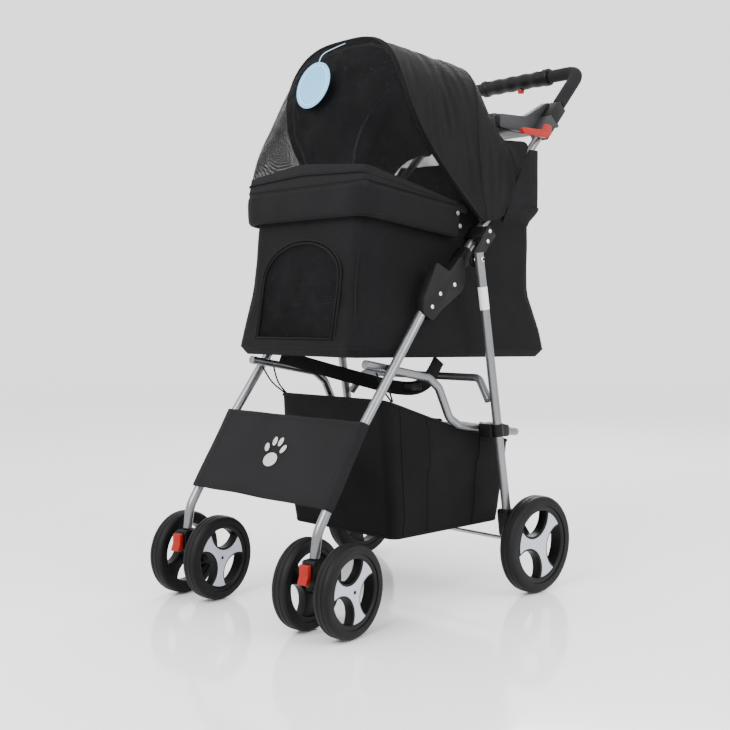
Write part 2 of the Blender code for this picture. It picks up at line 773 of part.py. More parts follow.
def foam_sleeve(side_name, side):
    """The foam over one arm and corner of the grip frame."""
    foot = along_handle(HANDLE_SPLIT + 0.043, 0, HANDLE_X)
    corner = along_handle(HANDLE_LENGTH, 0, HANDLE_X)
    inner_x = GRIP_HIGH_X if side > 0 else -GRIP_LOW_X
    end = at_x(corner, inner_x + 0.001)
    core_start = foot - (corner - foot).normalized() * 0.02
    core_end = end - Vector((0.02, 0, 0))
    outer = baked(tube(f"foam_sleeve_{side_name}", flip(rounded_path([foot, corner, end], 0.034, 5), side), FOAM_R, FOAM))
    core = rounded_path([core_start, corner, core_end], 0.034, 5)
    inner = baked(tube("core", flip(core, side), TUBE_R + GAP, FOAM, 4))
    boolean(outer, inner)


def grip_housing():
    """The moulded grip round the middle of the bar, with a pocket for its button."""
    centre = along_handle(HANDLE_LENGTH)
    length = GRIP_HIGH_X - GRIP_LOW_X
    swell = [(0.0, 0.0135), (0.05, 0.0160), (0.3, 0.0178), (0.5, 0.0180), (0.7, 0.0178), (0.95, 0.0160), (1.0, 0.0135)]
    outer = [(GRIP_LOW_X + length * t, r) for t, r in swell]
    bore = TUBE_R + GAP
    profile = [*outer, (GRIP_HIGH_X, bore), (GRIP_LOW_X, bore)]
    housing = turned("grip_housing", profile, centre, BLACK_PLASTIC, 0.0, 20)
    spot = at_x(centre, BUTTON_X)
    pocket = rod_mesh(spot - Vector((0, 0, 0.030)), spot - Vector((0, 0, 0.0098)), BUTTON_R + RUNNING)
    boolean(housing, cutter_from(pocket))


BUTTON_X = 0.005
BUTTON_R = 0.0065


def grip_button():
    spot = at_x(along_handle(HANDLE_LENGTH), BUTTON_X)
    rod("grip_button", spot - Vector((0, 0, 0.0225)), spot - Vector((0, 0, 0.0130)), BUTTON_R, RED_PLASTIC)


TRAY_X = HANDLE_X - KNUCKLE_HALF - GAP


def parent_tray():
    """The cup tray between the handle tubes."""
    outline = rounded_outline(
        [(0.128, 0.846), (0.140, 0.838), (0.258, 0.838), (0.262, 0.862), (0.205, 0.868), (0.135, 0.866)], 0.004
    )
    tray = plate("parent_tray", outline, -TRAY_X + 0.012, TRAY_X - 0.012, BLACK_PLASTIC)
    for x in (-0.072, 0.072):
        cup = rod_mesh((x, 0.192, 0.843), (x, 0.192, 0.90), 0.037, 28)
        tray = boolean(tray, cutter_from(cup))
    dish = box_mesh((-0.028, 0.150, 0.850), (0.028, 0.235, 0.90), 0.004)
    tray = boolean(tray, cutter_from(dish))
    for side in (1.0, -1.0):
        low, high = x_range(side, TRAY_X - 0.014, TRAY_X)
        arm_outline = rounded_outline(
            [(0.140, 0.840), (0.262, 0.838), (0.300, 0.885), (0.296, 0.902), (0.282, 0.902), (0.215, 0.868),
             (0.140, 0.864)],
            0.004,
        )
        arm = plate("arm", arm_outline, low, high, BLACK_PLASTIC)
        tray = boolean(tray, arm, "UNION")
        root_outline = handle_outline([(0.388, -0.010), (0.424, -0.010), (0.424, 0.009), (0.388, 0.009)])
        low, high = x_range(side, TRAY_X - 0.010, TRAY_X + 0.002)
        tray = boolean(tray, plate("root", root_outline, low, high, BLACK_PLASTIC), "UNION")
        tray = boolean(tray, lower_knuckle(side), "UNION")


LATCH_PIVOT = Vector((0, 0.238, 0.842))


def tray_latch(side_name, side):
    """The red lever outside the handle tube, which frees the folding grip."""
    outline = rounded_outline(
        [(0.166, 0.828), (0.236, 0.826), (0.250, 0.834), (0.250, 0.850), (0.236, 0.853), (0.226, 0.840), (0.166, 0.838)],
        0.003,
    )
    low, high = x_range(side, HANDLE_X + KNUCKLE_HALF + GAP, HANDLE_X + KNUCKLE_HALF + 0.009)
    plate(f"tray_latch_{side_name}", outline, low, high, RED_PLASTIC)


# ---------------------------------------------------------------- cabin

# Each ring gives z, the half width, and the front and rear Y of the cabin's outside.
CABIN_RINGS = (
    (CABIN_FLOOR_Z, 0.1440, -0.232, 0.250),
    (CABIN_FLOOR_Z + 0.012, CABIN_LOW_X, -0.2405, 0.262),
    (0.470, CABIN_LOW_X - 0.001, -0.2355, 0.252),
    (0.538, CABIN_WAIST_X, -0.2240, 0.232),
    (0.620, CABIN_WAIST_X, -0.2120, 0.230),
    (CABIN_TOP_Z, CABIN_WAIST_X, -0.2035, 0.228),
)
CABIN_CORNER = 0.018
DOOR_X = 0.100
DOOR_LOW_Z = 0.4545
DOOR_HIGH_Z = 0.622
DOOR_GAP = 0.0008


def cabin_ring(half, front, rear, inset=0.0):
    """The cabin's outline at one level, with cut corners."""
    c = CABIN_CORNER
    h = half - inset
    f = front + inset
    r = rear - inset
    return [(-h, f + c), (-h + c * 0.3, f + c * 0.3), (-h + c, f), (h - c, f), (h - c * 0.3, f + c * 0.3), (h, f + c),
            (h, r - c), (h - c, r), (-h + c, r), (-h, r - c)]


def cabin_solid(name, inset, low_shift, high_shift):
    """The cabin's full form, drawn in by inset."""

    def build(bm):
        rings = []
        for i, (z, half, front, rear) in enumerate(CABIN_RINGS):
            shift = low_shift if i == 0 else (high_shift if i == len(CABIN_RINGS) - 1 else 0.0)
            drop = CABIN_DROP / (rear - front) if i < 2 else 0.0
            ring = cabin_ring(half, front, rear, inset)
            rings.append([bm.verts.new((x, y, z + shift - drop * (y - front))) for x, y in ring])
        for one, two in zip(rings, rings[1:]):
            for i in range(len(one)):
                j = (i + 1) % len(one)
                bm.faces.new((one[i], one[j], two[j], two[i]))
        bm.faces.new(rings[0])
        bm.faces.new(rings[-1])

    return place(name, mesh_of(name, build), FABRIC)


def door_arch(grow):
    """The arched prism through the front wall."""
    half = DOOR_X + grow
    low = DOOR_LOW_Z - grow
    high = DOOR_HIGH_Z + grow
    outline = [(-half, low), (half, low), (half, low + 0.09)]
    rise = high - low - 0.09
    for step in range(1, 10):
        t = math.pi * step / 10
        outline.append((half * math.cos(t), low + 0.09 + rise * math.sin(t) ** 0.8))
    outline.append((-half, low + 0.09))

    def build(bm):
        near = [bm.verts.new((x, -0.27, z)) for x, z in outline]
        far = [bm.verts.new((x, -0.185, z)) for x, z in outline]
        count = len(outline)
        for i in range(count):
            j = (i + 1) % count
            bm.faces.new((near[i], near[j], far[j], far[i]))
        bm.faces.new(near)
        bm.faces.new(far)

    return mesh_of("arch", build)


def cabin_shell(name):
    """The cabin's walls and floor, open at the top."""
    outer = cabin_solid(name, 0.0, 0.0, 0.0)
    inner = cabin_solid("inner", CABIN_WALL, CABIN_WALL, 0.01)
    return boolean(outer, inner)


def cabin_and_door():
    door = cabin_shell("front_door")
    boolean(door, cutter_from(door_arch(0.0)), "INTERSECT")
    cabin = cabin_shell("cabin")
    boolean(cabin, cutter_from(door_arch(DOOR_GAP)))


def cabin_mat():
    """The padded floor mat inside the cabin."""
    low = MAT_LOW_Z
    place("cabin_mat", box_mesh((-0.130, -0.212, low), (0.130, 0.228, low + 0.018), 0.005), FABRIC)


def front_band():
    """The padded cover over the cabin's front rim, a U in plan that rises to the front."""
    x = CABIN_X + 0.0105
    front = -0.2190
    left = [Vector((x, 0.008, 0.6560)), Vector((x, front, 0.6820))]
    points = rounded_path(left + flip(reversed(left), -1), 0.030, 5)
    up = Vector((0, 0, 1))
    swept_band("front_band", points, [up] * len(points), 0.054, 0.018, FABRIC)


def strap():
    """The webbing strap that hangs under the cabin's front."""
    spots = [Vector((-0.080, -0.200, 0.4235)), Vector((0.020, -0.145, 0.394)), Vector((0.100, -0.085, 0.371)),
             Vector((0.122, -0.045, 0.378)), Vector((0.124, -0.010, 0.4175))]
    points = rounded_path(spots, 0.03, 3)
    swept_band("safety_strap", points, [Vector((0.35, 1, 0))] * len(points), 0.025, 0.0016, FABRIC)


# ---------------------------------------------------------------- canopy

# Each section: the foot's Y and Z at the side, the crown's Y and Z, how far the side bows,
# forward if negative, or backward if positive, and how square its shoulders are, squarer if less.
CANOPY_SECTIONS = (
    (0.052, 0.664, -0.118, 0.972, -0.070, 0.625),
    (0.058, 0.664, -0.010, 0.969, -0.050, 0.625),
    (0.066, 0.664, 0.092, 0.955, -0.030, 0.625),
    (0.088, 0.668, 0.104, 0.905, 0.010, 0.54),
    (0.100, 0.671, 0.112, 0.862, 0.030, 0.44),
    (0.107, 0.674, 0.119, 0.832, 0.032, 0.36),
    (0.112, 0.676, 0.205, 0.822, -0.012, 0.24),
)
CANOPY_PIVOT = Vector((0, 0.060, 0.655))
ARCH_STEPS = 16


def arch_point(section, t, half, inset=0.0):
    """A point on a canopy arch, t from 0 at the left foot to 1 at the right."""
    foot_y, foot_z, top_y, top_z, bow, power = section
    angle = math.pi * t
    x = half * math.copysign(abs(math.cos(angle)) ** power, math.cos(angle))
    h = abs(math.sin(angle)) ** power
    rise = Vector((0, top_y - foot_y, top_z - foot_z))
    y = foot_y + rise.y * h + bow * math.sin(math.pi * h)
    z = foot_z + (rise.z - inset) * h
    return Vector((x, y, z))


def arch(section, half, inset=0.0, steps=ARCH_STEPS, trim=0.0):
    return [arch_point(section, trim + (1 - 2 * trim) * i / steps, half, inset) for i in range(steps + 1)]


def canopy():
    rows = [arch(section, CANOPY_X) for section in CANOPY_SECTIONS]
    made = grid_shell("canopy", rows, CANOPY_WALL, FABRIC)
    made.modifiers["wall"].offset = 1.0 if inward_faces(made.data) else -1.0


def hoop(name, section, half, foot, shift):
    """A spring wire inside the canopy, from one side's pivot over to the other's."""
    foot_y, foot_z, top_y, top_z, bow, power = section
    line = (foot, CANOPY_PIVOT.z + 0.008, top_y + shift, top_z, bow + 0.3 * shift, power)
    curve = arch(line, half, 0.0085, 16)
    tube(name, curve, HOOP_R, DARK_STEEL, 1)


def band_edge_point(t):
    """A point over the front band's upper edge, t from 0 at the left end to 1 at the right."""
    swing = 2 * t - 1
    t = 0.5 + 0.5 * math.copysign(swing * swing, swing)
    x = CABIN_X + 0.010
    front = -0.2150
    rear = 0.032
    run = (rear - front) * 2 + 2 * x
    along = t * run
    side_run = rear - front
    if along < side_run:
        y = rear - along
        spot = (x, y)
    elif along < side_run + 2 * x:
        spot = (x - (along - side_run), front)
    else:
        spot = (-x, front + (along - side_run - 2 * x))
    share = (rear - spot[1]) / side_run
    return Vector((spot[0], spot[1], 0.6850 + 0.0285 * share))


def front_window():
    """The mesh front of the hood, from the front hoop down to the band."""
    rows = []
    section = list(CANOPY_SECTIONS[0])
    section[0] -= 0.004
    section[1] += 0.004
    section[2] -= 0.004
    levels = (0.0, 0.3, 0.65, 1.0)
    for level in levels:
        row = []
        for i in range(ARCH_STEPS + 1):
            t = i / ARCH_STEPS
            upper = arch_point(section, t, CANOPY_X - 0.0045)
            lower = band_edge_point(t)
            point = upper.lerp(lower, level)
            point.y -= 0.030 * math.sin(math.pi * level) * math.sin(math.pi * t)
            row.append(point)
        rows.append(row)
    made = grid_shell("front_window", rows, 0.0012, MESH_CLOTH)
    made.modifiers["wall"].offset = 0.0


def rear_hood_panel():
    """The cloth at the back of the cabin, between the canopy's rear edge and the rear wall."""

    def open_box(half, rear, corner, low, high):
        def build(bm):
            spots = [(-half, 0.085), (half, 0.085), (half, rear - corner), (half - corner, rear),
                     (corner - half, rear), (-half, rear - corner)]
            foot = [bm.verts.new((x, y, low)) for x, y in spots]
            top = [bm.verts.new((x, y, high)) for x, y in spots]
            bm.faces.new(foot)
            bm.faces.new(top)
            for k in range(len(spots)):
                after = (k + 1) % len(spots)
                bm.faces.new((foot[k], foot[after], top[after], top[k]))

        return mesh_of("box", build)

    outer = place("rear_hood_panel", open_box(0.165, 0.2285, 0.012, 0.6935, 0.801), FABRIC)
    inner = open_box(0.162, 0.2255, 0.0105, 0.68, 0.84)
    inner_front = box_mesh((-0.162, 0.05, 0.68), (0.162, 0.09, 0.84))
    outer = boolean(outer, cutter_from(inner))
    outer = boolean(outer, cutter_from(inner_front))
    edge = [(arch_point(CANOPY_SECTIONS[-1], t / 20, CANOPY_X)) for t in range(0, 11)]
    line = [(p.y + 0.0060, p.z - 0.0010) for p in edge]
    outline = [(0.0, 0.60), (line[0][0], 0.60), *line, (line[-1][0], 0.90), (0.0, 0.90)]
    front = plate("front_cut", outline, -0.2, 0.2, FABRIC)
    boolean(outer, front)


TAG_R = 0.041


def hang_tag():
    """The blank card tag on the front of the hood."""
    turns = [math.tau * i / 28 for i in range(28)]
    centre = Vector((0.010, -0.2020, 0.884))
    tilt = Matrix.Rotation(math.radians(-14), 4, "X") @ Matrix.Rotation(math.radians(6), 4, "Y")

    def build(bm):
        rings = []
        for y in (-0.0005, 0.0005):
            rings.append([bm.verts.new((TAG_R * math.cos(t), y, TAG_R * math.sin(t))) for t in turns])
        for i in range(len(turns)):
            j = (i + 1) % len(turns)
            bm.faces.new((rings[0][i], rings[0][j], rings[1][j], rings[1][i]))
        bm.faces.new(rings[0])
        bm.faces.new(rings[1])
        bmesh.ops.transform(bm, matrix=Matrix.Translation(centre) @ tilt, verts=bm.verts)

    place("hang_tag", mesh_of("hang_tag", build), CARD)


# ---------------------------------------------------------------- assembly

for side_name, side in SIDES:
    rear_leg(side_name, side)
    rear_wheel_carrier(side_name, side)
    brake_pedal(side_name, side)
    rear_wheel(side_name, side)
    caster_fork(side_name, side)
    caster_lock(side_name, side)
    front_wheel_pair(side_name, side)
    front_leg(side_name, side)
    lower_bracket(side_name, side)
    handle_tube(side_name, side)
    latch_sleeve(side_name, side)
    upper_bracket(side_name, side)
    upper_knuckle(side_name, side)
    foam_sleeve(side_name, side)
    tray_latch(side_name, side)
rear_cross_brace()
rear_axle()
footrest_panel()
footrest_rod()
side_rails()
basket()
grip_frame()
grip_housing()
grip_button()
parent_tray()
cabin_and_door()
cabin_mat()
front_band()
strap()
canopy()
hoop("canopy_front_hoop", CANOPY_SECTIONS[0], HOOP_X, 0.058, 0.006)
hoop("canopy_middle_hoop", CANOPY_SECTIONS[2], HOOP_X - 0.006, 0.064, -0.006)
front_window()
rear_hood_panel()
hang_tag()
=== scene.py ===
import math

import bmesh
import bpy
from mathutils import Matrix, Vector, noise


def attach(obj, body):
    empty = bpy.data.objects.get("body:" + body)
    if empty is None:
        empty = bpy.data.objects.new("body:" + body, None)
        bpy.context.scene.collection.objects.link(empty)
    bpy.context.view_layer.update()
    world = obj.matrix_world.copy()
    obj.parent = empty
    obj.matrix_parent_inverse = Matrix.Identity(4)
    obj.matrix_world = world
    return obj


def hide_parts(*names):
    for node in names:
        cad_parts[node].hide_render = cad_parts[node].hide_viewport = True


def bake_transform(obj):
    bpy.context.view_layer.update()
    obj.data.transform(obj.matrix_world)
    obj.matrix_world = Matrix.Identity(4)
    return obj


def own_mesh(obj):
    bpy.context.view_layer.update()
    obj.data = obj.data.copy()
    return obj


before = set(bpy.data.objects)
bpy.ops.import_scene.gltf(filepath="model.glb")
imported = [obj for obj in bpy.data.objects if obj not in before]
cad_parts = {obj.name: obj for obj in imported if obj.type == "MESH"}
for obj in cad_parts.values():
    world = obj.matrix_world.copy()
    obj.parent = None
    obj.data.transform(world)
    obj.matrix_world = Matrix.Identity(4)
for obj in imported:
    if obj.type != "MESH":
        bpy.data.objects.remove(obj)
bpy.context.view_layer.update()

# ---------------------------------------------------------------- sizes, in metres

TUBE_R = 0.008
RAIL_R = 0.0075
BRACE_R = 0.007
FOAM_R = 0.0125
FRONT_LEG_X = 0.168
HANDLE_X = 0.150
REAR_LEG_X = 0.191
RAIL_X = 0.147
HANDLE_HINGE = Vector((0.0, -0.022, 0.551))
LEG_PIVOT = Vector((0.0, 0.019, 0.592))
RAIL_PIVOT = Vector((0.0, -0.169, 0.4085))
HANDLE_RISE = math.radians(47.15)
HANDLE_LENGTH = 0.576
HANDLE_SPLIT = 0.428
CASTER_STEM_Y = -0.340
CASTER_TRAIL = 0.0325
CASTER_TURN = math.radians(9)
TWIN_SPACING = 0.083
FRONT_WHEEL = (0.073, 0.028)
REAR_WHEEL = (0.0867, 0.030)
REAR_WHEEL_CENTRE = (0.2256, 0.137, 0.0867)
GRIP_LOW_X = -0.092
GRIP_HIGH_X = 0.078
SIDES = (("left", 1.0), ("right", -1.0))

ACROSS_HANDLE = Vector((0.0, -math.sin(HANDLE_RISE), math.cos(HANDLE_RISE)))

# ---------------------------------------------------------------- camera, floor and light

camera_data = bpy.data.cameras.new("camera")
camera_data.lens = 54.05
camera_data.sensor_width = 36.0
camera = bpy.data.objects.new("camera", camera_data)
bpy.context.scene.collection.objects.link(camera)
camera.location = (1.4166, -1.4385, 0.4937)
camera.rotation_euler = (math.radians(90 - 2.53), 0.0, math.radians(46.0))
bpy.context.scene.camera = camera


def node_material(name):
    """A new material, its tree and its shader."""
    made = bpy.data.materials.new(name)
    made.use_nodes = True
    tree = made.node_tree
    return made, tree, tree.nodes["Principled BSDF"]


def link(tree, source, socket, target, entry):
    tree.links.new(source.outputs[socket], target.inputs[entry])


def noise_node(tree, coords, scale, detail=3.0, rough=0.55):
    made = tree.nodes.new("ShaderNodeTexNoise")
    made.inputs["Scale"].default_value = scale
    made.inputs["Detail"].default_value = detail
    made.inputs["Roughness"].default_value = rough
    tree.links.new(coords, made.inputs["Vector"])
    return made


def ramp_between(tree, factor, low, high, start=0.3, end=0.7):
    """A colour between two others by a factor."""
    made = tree.nodes.new("ShaderNodeValToRGB")
    made.color_ramp.elements[0].position = start
    made.color_ramp.elements[1].position = end
    made.color_ramp.elements[0].color = (*low, 1.0)
    made.color_ramp.elements[1].color = (*high, 1.0)
    tree.links.new(factor, made.inputs["Fac"])
    return made


def spread(tree, factor, low, high):
    """A factor from 0.3 to 0.7 spread over low to high."""
    made = tree.nodes.new("ShaderNodeMapRange")
    made.inputs["From Min"].default_value = 0.3
    made.inputs["From Max"].default_value = 0.7
    made.inputs["To Min"].default_value = low
    made.inputs["To Max"].default_value = high
    tree.links.new(factor, made.inputs["Value"])
    return made


def bump(tree, height, shader, distance, strength=1.0, under=None):
    made = tree.nodes.new("ShaderNodeBump")
    made.inputs["Distance"].default_value = distance
    made.inputs["Strength"].default_value = strength
    tree.links.new(height, made.inputs["Height"])
    if under:
        tree.links.new(under.outputs["Normal"], made.inputs["Normal"])
    if shader:
        tree.links.new(made.outputs["Normal"], shader.inputs["Normal"])
    return made


def object_coords(tree):
    return tree.nodes.new("ShaderNodeTexCoord").outputs["Object"]


def hard_finish(name, low, high, rough, metallic=0.0, grain=900.0, depth=0.00004, mottle=9.0, coat=0.0,
                specular=0.5):
    """Paint, plastic, rubber or metal: mottled colour, uneven gloss and a fine grain."""
    made, tree, shader = node_material(name)
    coords = object_coords(tree)
    broad = noise_node(tree, coords, mottle)
    fine = noise_node(tree, coords, grain, 2.0)
    colour = ramp_between(tree, broad.outputs["Fac"], low, high)
    link(tree, colour, "Color", shader, "Base Color")
    gloss = spread(tree, noise_node(tree, coords, mottle * 4).outputs["Fac"], rough[0], rough[1])
    link(tree, gloss, "Result", shader, "Roughness")
    bump(tree, fine.outputs["Fac"], shader, depth)
    shader.inputs["Metallic"].default_value = metallic
    shader.inputs["Coat Weight"].default_value = coat
    shader.inputs["Specular IOR Level"].default_value = specular
    shader.inputs["Coat Roughness"].default_value = 0.25
    return made


def thread_wave(tree, uv, pitch):
    """Sines of the two UV directions, one period a pitch, as two sockets."""
    scaled = tree.nodes.new("ShaderNodeVectorMath")
    scaled.operation = "SCALE"
    scaled.inputs["Scale"].default_value = math.tau / pitch
    tree.links.new(uv, scaled.inputs[0])
    split = tree.nodes.new("ShaderNodeSeparateXYZ")
    tree.links.new(scaled.outputs["Vector"], split.inputs["Vector"])
    waves = []
    for axis in ("X", "Y"):
        wave = tree.nodes.new("ShaderNodeMath")
        wave.operation = "SINE"
        tree.links.new(split.outputs[axis], wave.inputs[0])
        waves.append(wave.outputs["Value"])
    return waves


def multiply(tree, one, two):
    made = tree.nodes.new("ShaderNodeMath")
    made.operation = "MULTIPLY"
    tree.links.new(one, made.inputs[0])
    tree.links.new(two, made.inputs[1])
    return made.outputs["Value"]


def cloth_finish(name, low, high, pitch=0.0013, depth=0.00022, creases=0.0022, crease_scale=14.0, sheen=0.02):
    """A coated plain weave: threads from the UV map, creases and faded patches from the place."""
    made, tree, shader = node_material(name)
    coords = object_coords(tree)
    uv = tree.nodes.new("ShaderNodeUVMap").outputs["UV"]
    warp, weft = thread_wave(tree, uv, pitch)
    weave = multiply(tree, warp, weft)
    broad = noise_node(tree, coords, 5.0)
    slub = noise_node(tree, coords, 420.0, 2.0)
    patch = multiply(tree, broad.outputs["Fac"],
                     spread(tree, slub.outputs["Fac"], 0.8, 1.2).outputs["Result"])
    colour = ramp_between(tree, patch, low, high)
    link(tree, colour, "Color", shader, "Base Color")
    gloss = spread(tree, broad.outputs["Fac"], 0.68, 0.88)
    link(tree, gloss, "Result", shader, "Roughness")
    crease = bump(tree, noise_node(tree, coords, crease_scale, 4.0).outputs["Fac"], None, creases, 0.7)
    fuzz = bump(tree, slub.outputs["Fac"], None, 0.0003, 0.6, crease)
    bump(tree, weave, shader, depth, 0.8, fuzz)
    shader.inputs["Sheen Weight"].default_value = sheen
    shader.inputs["Sheen Roughness"].default_value = 0.4
    shader.inputs["Specular IOR Level"].default_value = 0.09
    return made


def net_finish(name, low, high, pitch, cover):
    """An open net: threads with see-through holes between them."""
    made, tree, shader = node_material(name)
    coords = object_coords(tree)
    uv = tree.nodes.new("ShaderNodeUVMap").outputs["UV"]
    warp, weft = thread_wave(tree, uv, pitch)
    crossing = tree.nodes.new("ShaderNodeMath")
    crossing.operation = "ABSOLUTE"
    tree.links.new(multiply(tree, warp, weft), crossing.inputs[0])
    knots = crossing.outputs["Value"]
    holes = tree.nodes.new("ShaderNodeMapRange")
    holes.inputs["From Min"].default_value = cover - 0.12
    holes.inputs["From Max"].default_value = cover + 0.12
    holes.inputs["To Min"].default_value = 1.0
    holes.inputs["To Max"].default_value = 0.0
    tree.links.new(knots, holes.inputs["Value"])
    link(tree, holes, "Result", shader, "Alpha")
    colour = ramp_between(tree, noise_node(tree, coords, 6.0).outputs["Fac"], low, high)
    link(tree, colour, "Color", shader, "Base Color")
    gloss = spread(tree, noise_node(tree, coords, 40.0).outputs["Fac"], 0.6, 0.85)
    link(tree, gloss, "Result", shader, "Roughness")
    bump(tree, knots, shader, 0.0002, 0.6)
    shader.inputs["Specular IOR Level"].default_value = 0.06
    return made


SILVER = hard_finish("silver_paint", (0.16, 0.163, 0.172), (0.22, 0.224, 0.235), (0.26, 0.36), metallic=0.85,
                     grain=700.0, depth=0.00003)
DARK_STEEL = hard_finish("dark_paint", (0.10, 0.105, 0.115), (0.15, 0.155, 0.165), (0.28, 0.42), metallic=0.6)
AXLE_STEEL = hard_finish("zinc_steel", (0.45, 0.45, 0.46), (0.58, 0.58, 0.6), (0.25, 0.42), metallic=0.95)
BLACK_PLASTIC = hard_finish("black_plastic", (0.003, 0.003, 0.0033), (0.007, 0.007, 0.0076), (0.36, 0.5),
                            specular=0.13)
GREY_PLASTIC = hard_finish("tray_plastic", (0.014, 0.014, 0.016), (0.024, 0.024, 0.027), (0.4, 0.55),
                           specular=0.25)
RED_PLASTIC = hard_finish("red_plastic", (0.22, 0.006, 0.003), (0.30, 0.009, 0.005), (0.3, 0.45),
                          specular=0.2)
RUBBER = hard_finish("tyre_rubber", (0.003, 0.003, 0.0033), (0.008, 0.008, 0.0085), (0.45, 0.6), grain=500.0,
                     depth=0.00012, specular=0.12)
FOAM = hard_finish("grip_foam", (0.006, 0.006, 0.0068), (0.011, 0.011, 0.012), (0.75, 0.92), grain=1100.0,
                   depth=0.0003, specular=0.15)
INLAY = hard_finish("pale_inlay", (0.36, 0.38, 0.45), (0.44, 0.46, 0.53), (0.3, 0.42), metallic=0.2,
                    grain=800.0, depth=0.00002)
RIVET = hard_finish("bright_rivet", (0.62, 0.62, 0.62), (0.78, 0.78, 0.77), (0.2, 0.32), metallic=0.95)
CARD = hard_finish("blue_card", (0.13, 0.36, 0.58), (0.17, 0.41, 0.63), (0.35, 0.5), grain=300.0,
                   depth=0.00003, specular=0.2)
CARD_RING = hard_finish("card_ring", (0.40, 0.60, 0.74), (0.48, 0.66, 0.78), (0.35, 0.5))
CLOTH = cloth_finish("black_oxford", (0.0014, 0.0014, 0.0018), (0.0062, 0.0062, 0.0070))
HOOD_CLOTH = cloth_finish("hood_oxford", (0.0018, 0.0018, 0.0022), (0.0075, 0.0075, 0.0084), creases=0.0030)
PANEL_CLOTH = cloth_finish("footrest_oxford", (0.0055, 0.0055, 0.0062), (0.0110, 0.0110, 0.0120),
                           creases=0.0014)
BINDING = cloth_finish("binding_tape", (0.0028, 0.0028, 0.0032), (0.0075, 0.0075, 0.0080), pitch=0.0008,
                       depth=0.0001, creases=0.0003, crease_scale=40.0)
WEBBING = cloth_finish("strap_webbing", (0.003, 0.003, 0.0034), (0.009, 0.009, 0.0095), pitch=0.0022,
                       depth=0.0004, creases=0.0004, crease_scale=30.0)
NET = net_finish("black_net", (0.004, 0.004, 0.0045), (0.009, 0.009, 0.010), pitch=0.0040, cover=0.36)
WIDE_NET = net_finish("basket_net", (0.020, 0.020, 0.022), (0.040, 0.040, 0.043), pitch=0.0060, cover=0.30)
THREAD = hard_finish("sewing_thread", (0.010, 0.010, 0.011), (0.020, 0.020, 0.021), (0.6, 0.8), specular=0.1)
PRINT = hard_finish("pale_print", (0.34, 0.34, 0.34), (0.42, 0.42, 0.42), (0.6, 0.8))
LABEL = hard_finish("blank_label", (0.60, 0.60, 0.60), (0.72, 0.71, 0.70), (0.35, 0.5))
FLOOR = hard_finish("pale_floor", (0.86, 0.86, 0.86), (0.88, 0.88, 0.88), (0.09, 0.12), grain=60.0,
                    depth=0.00001, mottle=2.0)


def mesh_object(name, mesh, finish):
    made = bpy.data.objects.new(name, mesh)
    bpy.context.scene.collection.objects.link(made)
    mesh.materials.clear()
    mesh.materials.append(finish)
    return made


FLOOR_HALF = 8
FLOOR_Z = -0.0006
floor_corners = [(x * FLOOR_HALF, y * FLOOR_HALF, FLOOR_Z) for x, y in ((-1, -1), (1, -1), (1, 1), (-1, 1))]
floor_mesh = bpy.data.meshes.new("floor")
floor_mesh.from_pydata(floor_corners, [], [(0, 1, 2, 3)])
floor = mesh_object("studio_floor", floor_mesh, FLOOR)

world = bpy.data.worlds.new("studio")
world.use_nodes = True
world.node_tree.nodes["Background"].inputs["Color"].default_value = (1.0, 1.0, 1.0, 1.0)
world.node_tree.nodes["Background"].inputs["Strength"].default_value = 1.9
bpy.context.scene.world = world


def area_light(name, where, target, size, power):
    data = bpy.data.lights.new(name, "AREA")
    data.size = size
    data.energy = power
    made = bpy.data.objects.new(name, data)
    bpy.context.scene.collection.objects.link(made)
    made.location = where
    aim = Vector(target) - Vector(where)
    made.rotation_euler = aim.to_track_quat("-Z", "Y").to_euler()


area_light("key", (0.3, -2.4, 2.2), (0.0, 0.0, 0.5), 1.6, 110)
area_light("side", (2.6, 0.4, 1.8), (0.0, 0.0, 0.5), 1.8, 60)
area_light("back", (-1.2, 2.2, 2.0), (0.0, 0.0, 0.6), 1.5, 60)

# ---------------------------------------------------------------- shape helpers


def mesh_from(bm, name):
    """A new mesh from a bmesh, which is freed."""
    mesh = bpy.data.meshes.new(name)
    bm.to_mesh(mesh)
    bm.free()
    return mesh


def outward(obj):
    """The object with all its faces turned outward."""
    bm = bmesh.new()
    bm.from_mesh(obj.data)
    bmesh.ops.recalc_face_normals(bm, faces=bm.faces)
    bm.to_mesh(obj.data)
    bm.free()
    return obj


def smooth(mesh, angle=40.0):
    """Smooth shading, with edges sharper than the angle kept."""
    for face in mesh.polygons:
        face.use_smooth = True
    mesh.set_sharp_from_angle(angle=math.radians(angle))


def finished(obj, body, *nodes, slot=None):
    """The piece rides on its body and stands for its CAD nodes; its slot is not used."""
    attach(obj, body)
    if nodes:
        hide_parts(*nodes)
    return obj


def evaluated_mesh(obj):
    bpy.context.view_layer.update()
    graph = bpy.context.evaluated_depsgraph_get()
    return bpy.data.meshes.new_from_object(obj.evaluated_get(graph), depsgraph=graph)


def applied(obj):
    """The object with its modifiers made part of its mesh, at the origin."""
    name = obj.name
    mesh = evaluated_mesh(obj)
    mesh.transform(obj.matrix_world)
    finish = obj.data.materials[0]
    bpy.data.objects.remove(obj)
    mesh.materials.clear()
    mesh.materials.append(finish)
    made = bpy.data.objects.new(name, mesh)
    bpy.context.scene.collection.objects.link(made)
    return made


def with_modifiers(obj, bevel=0.0, segments=2, levels=0, wall=0.0, offset=0.0):
    if wall:
        change = obj.modifiers.new("wall", "SOLIDIFY")
        change.thickness = wall
        change.offset = offset
    if bevel:
        change = obj.modifiers.new("edge", "BEVEL")
        change.width = bevel
        change.segments = segments
        change.limit_method = "ANGLE"
        change.angle_limit = math.radians(38)
    if levels:
        change = obj.modifiers.new("smooth", "SUBSURF")
        change.levels = levels
        change.render_levels = levels
    return obj


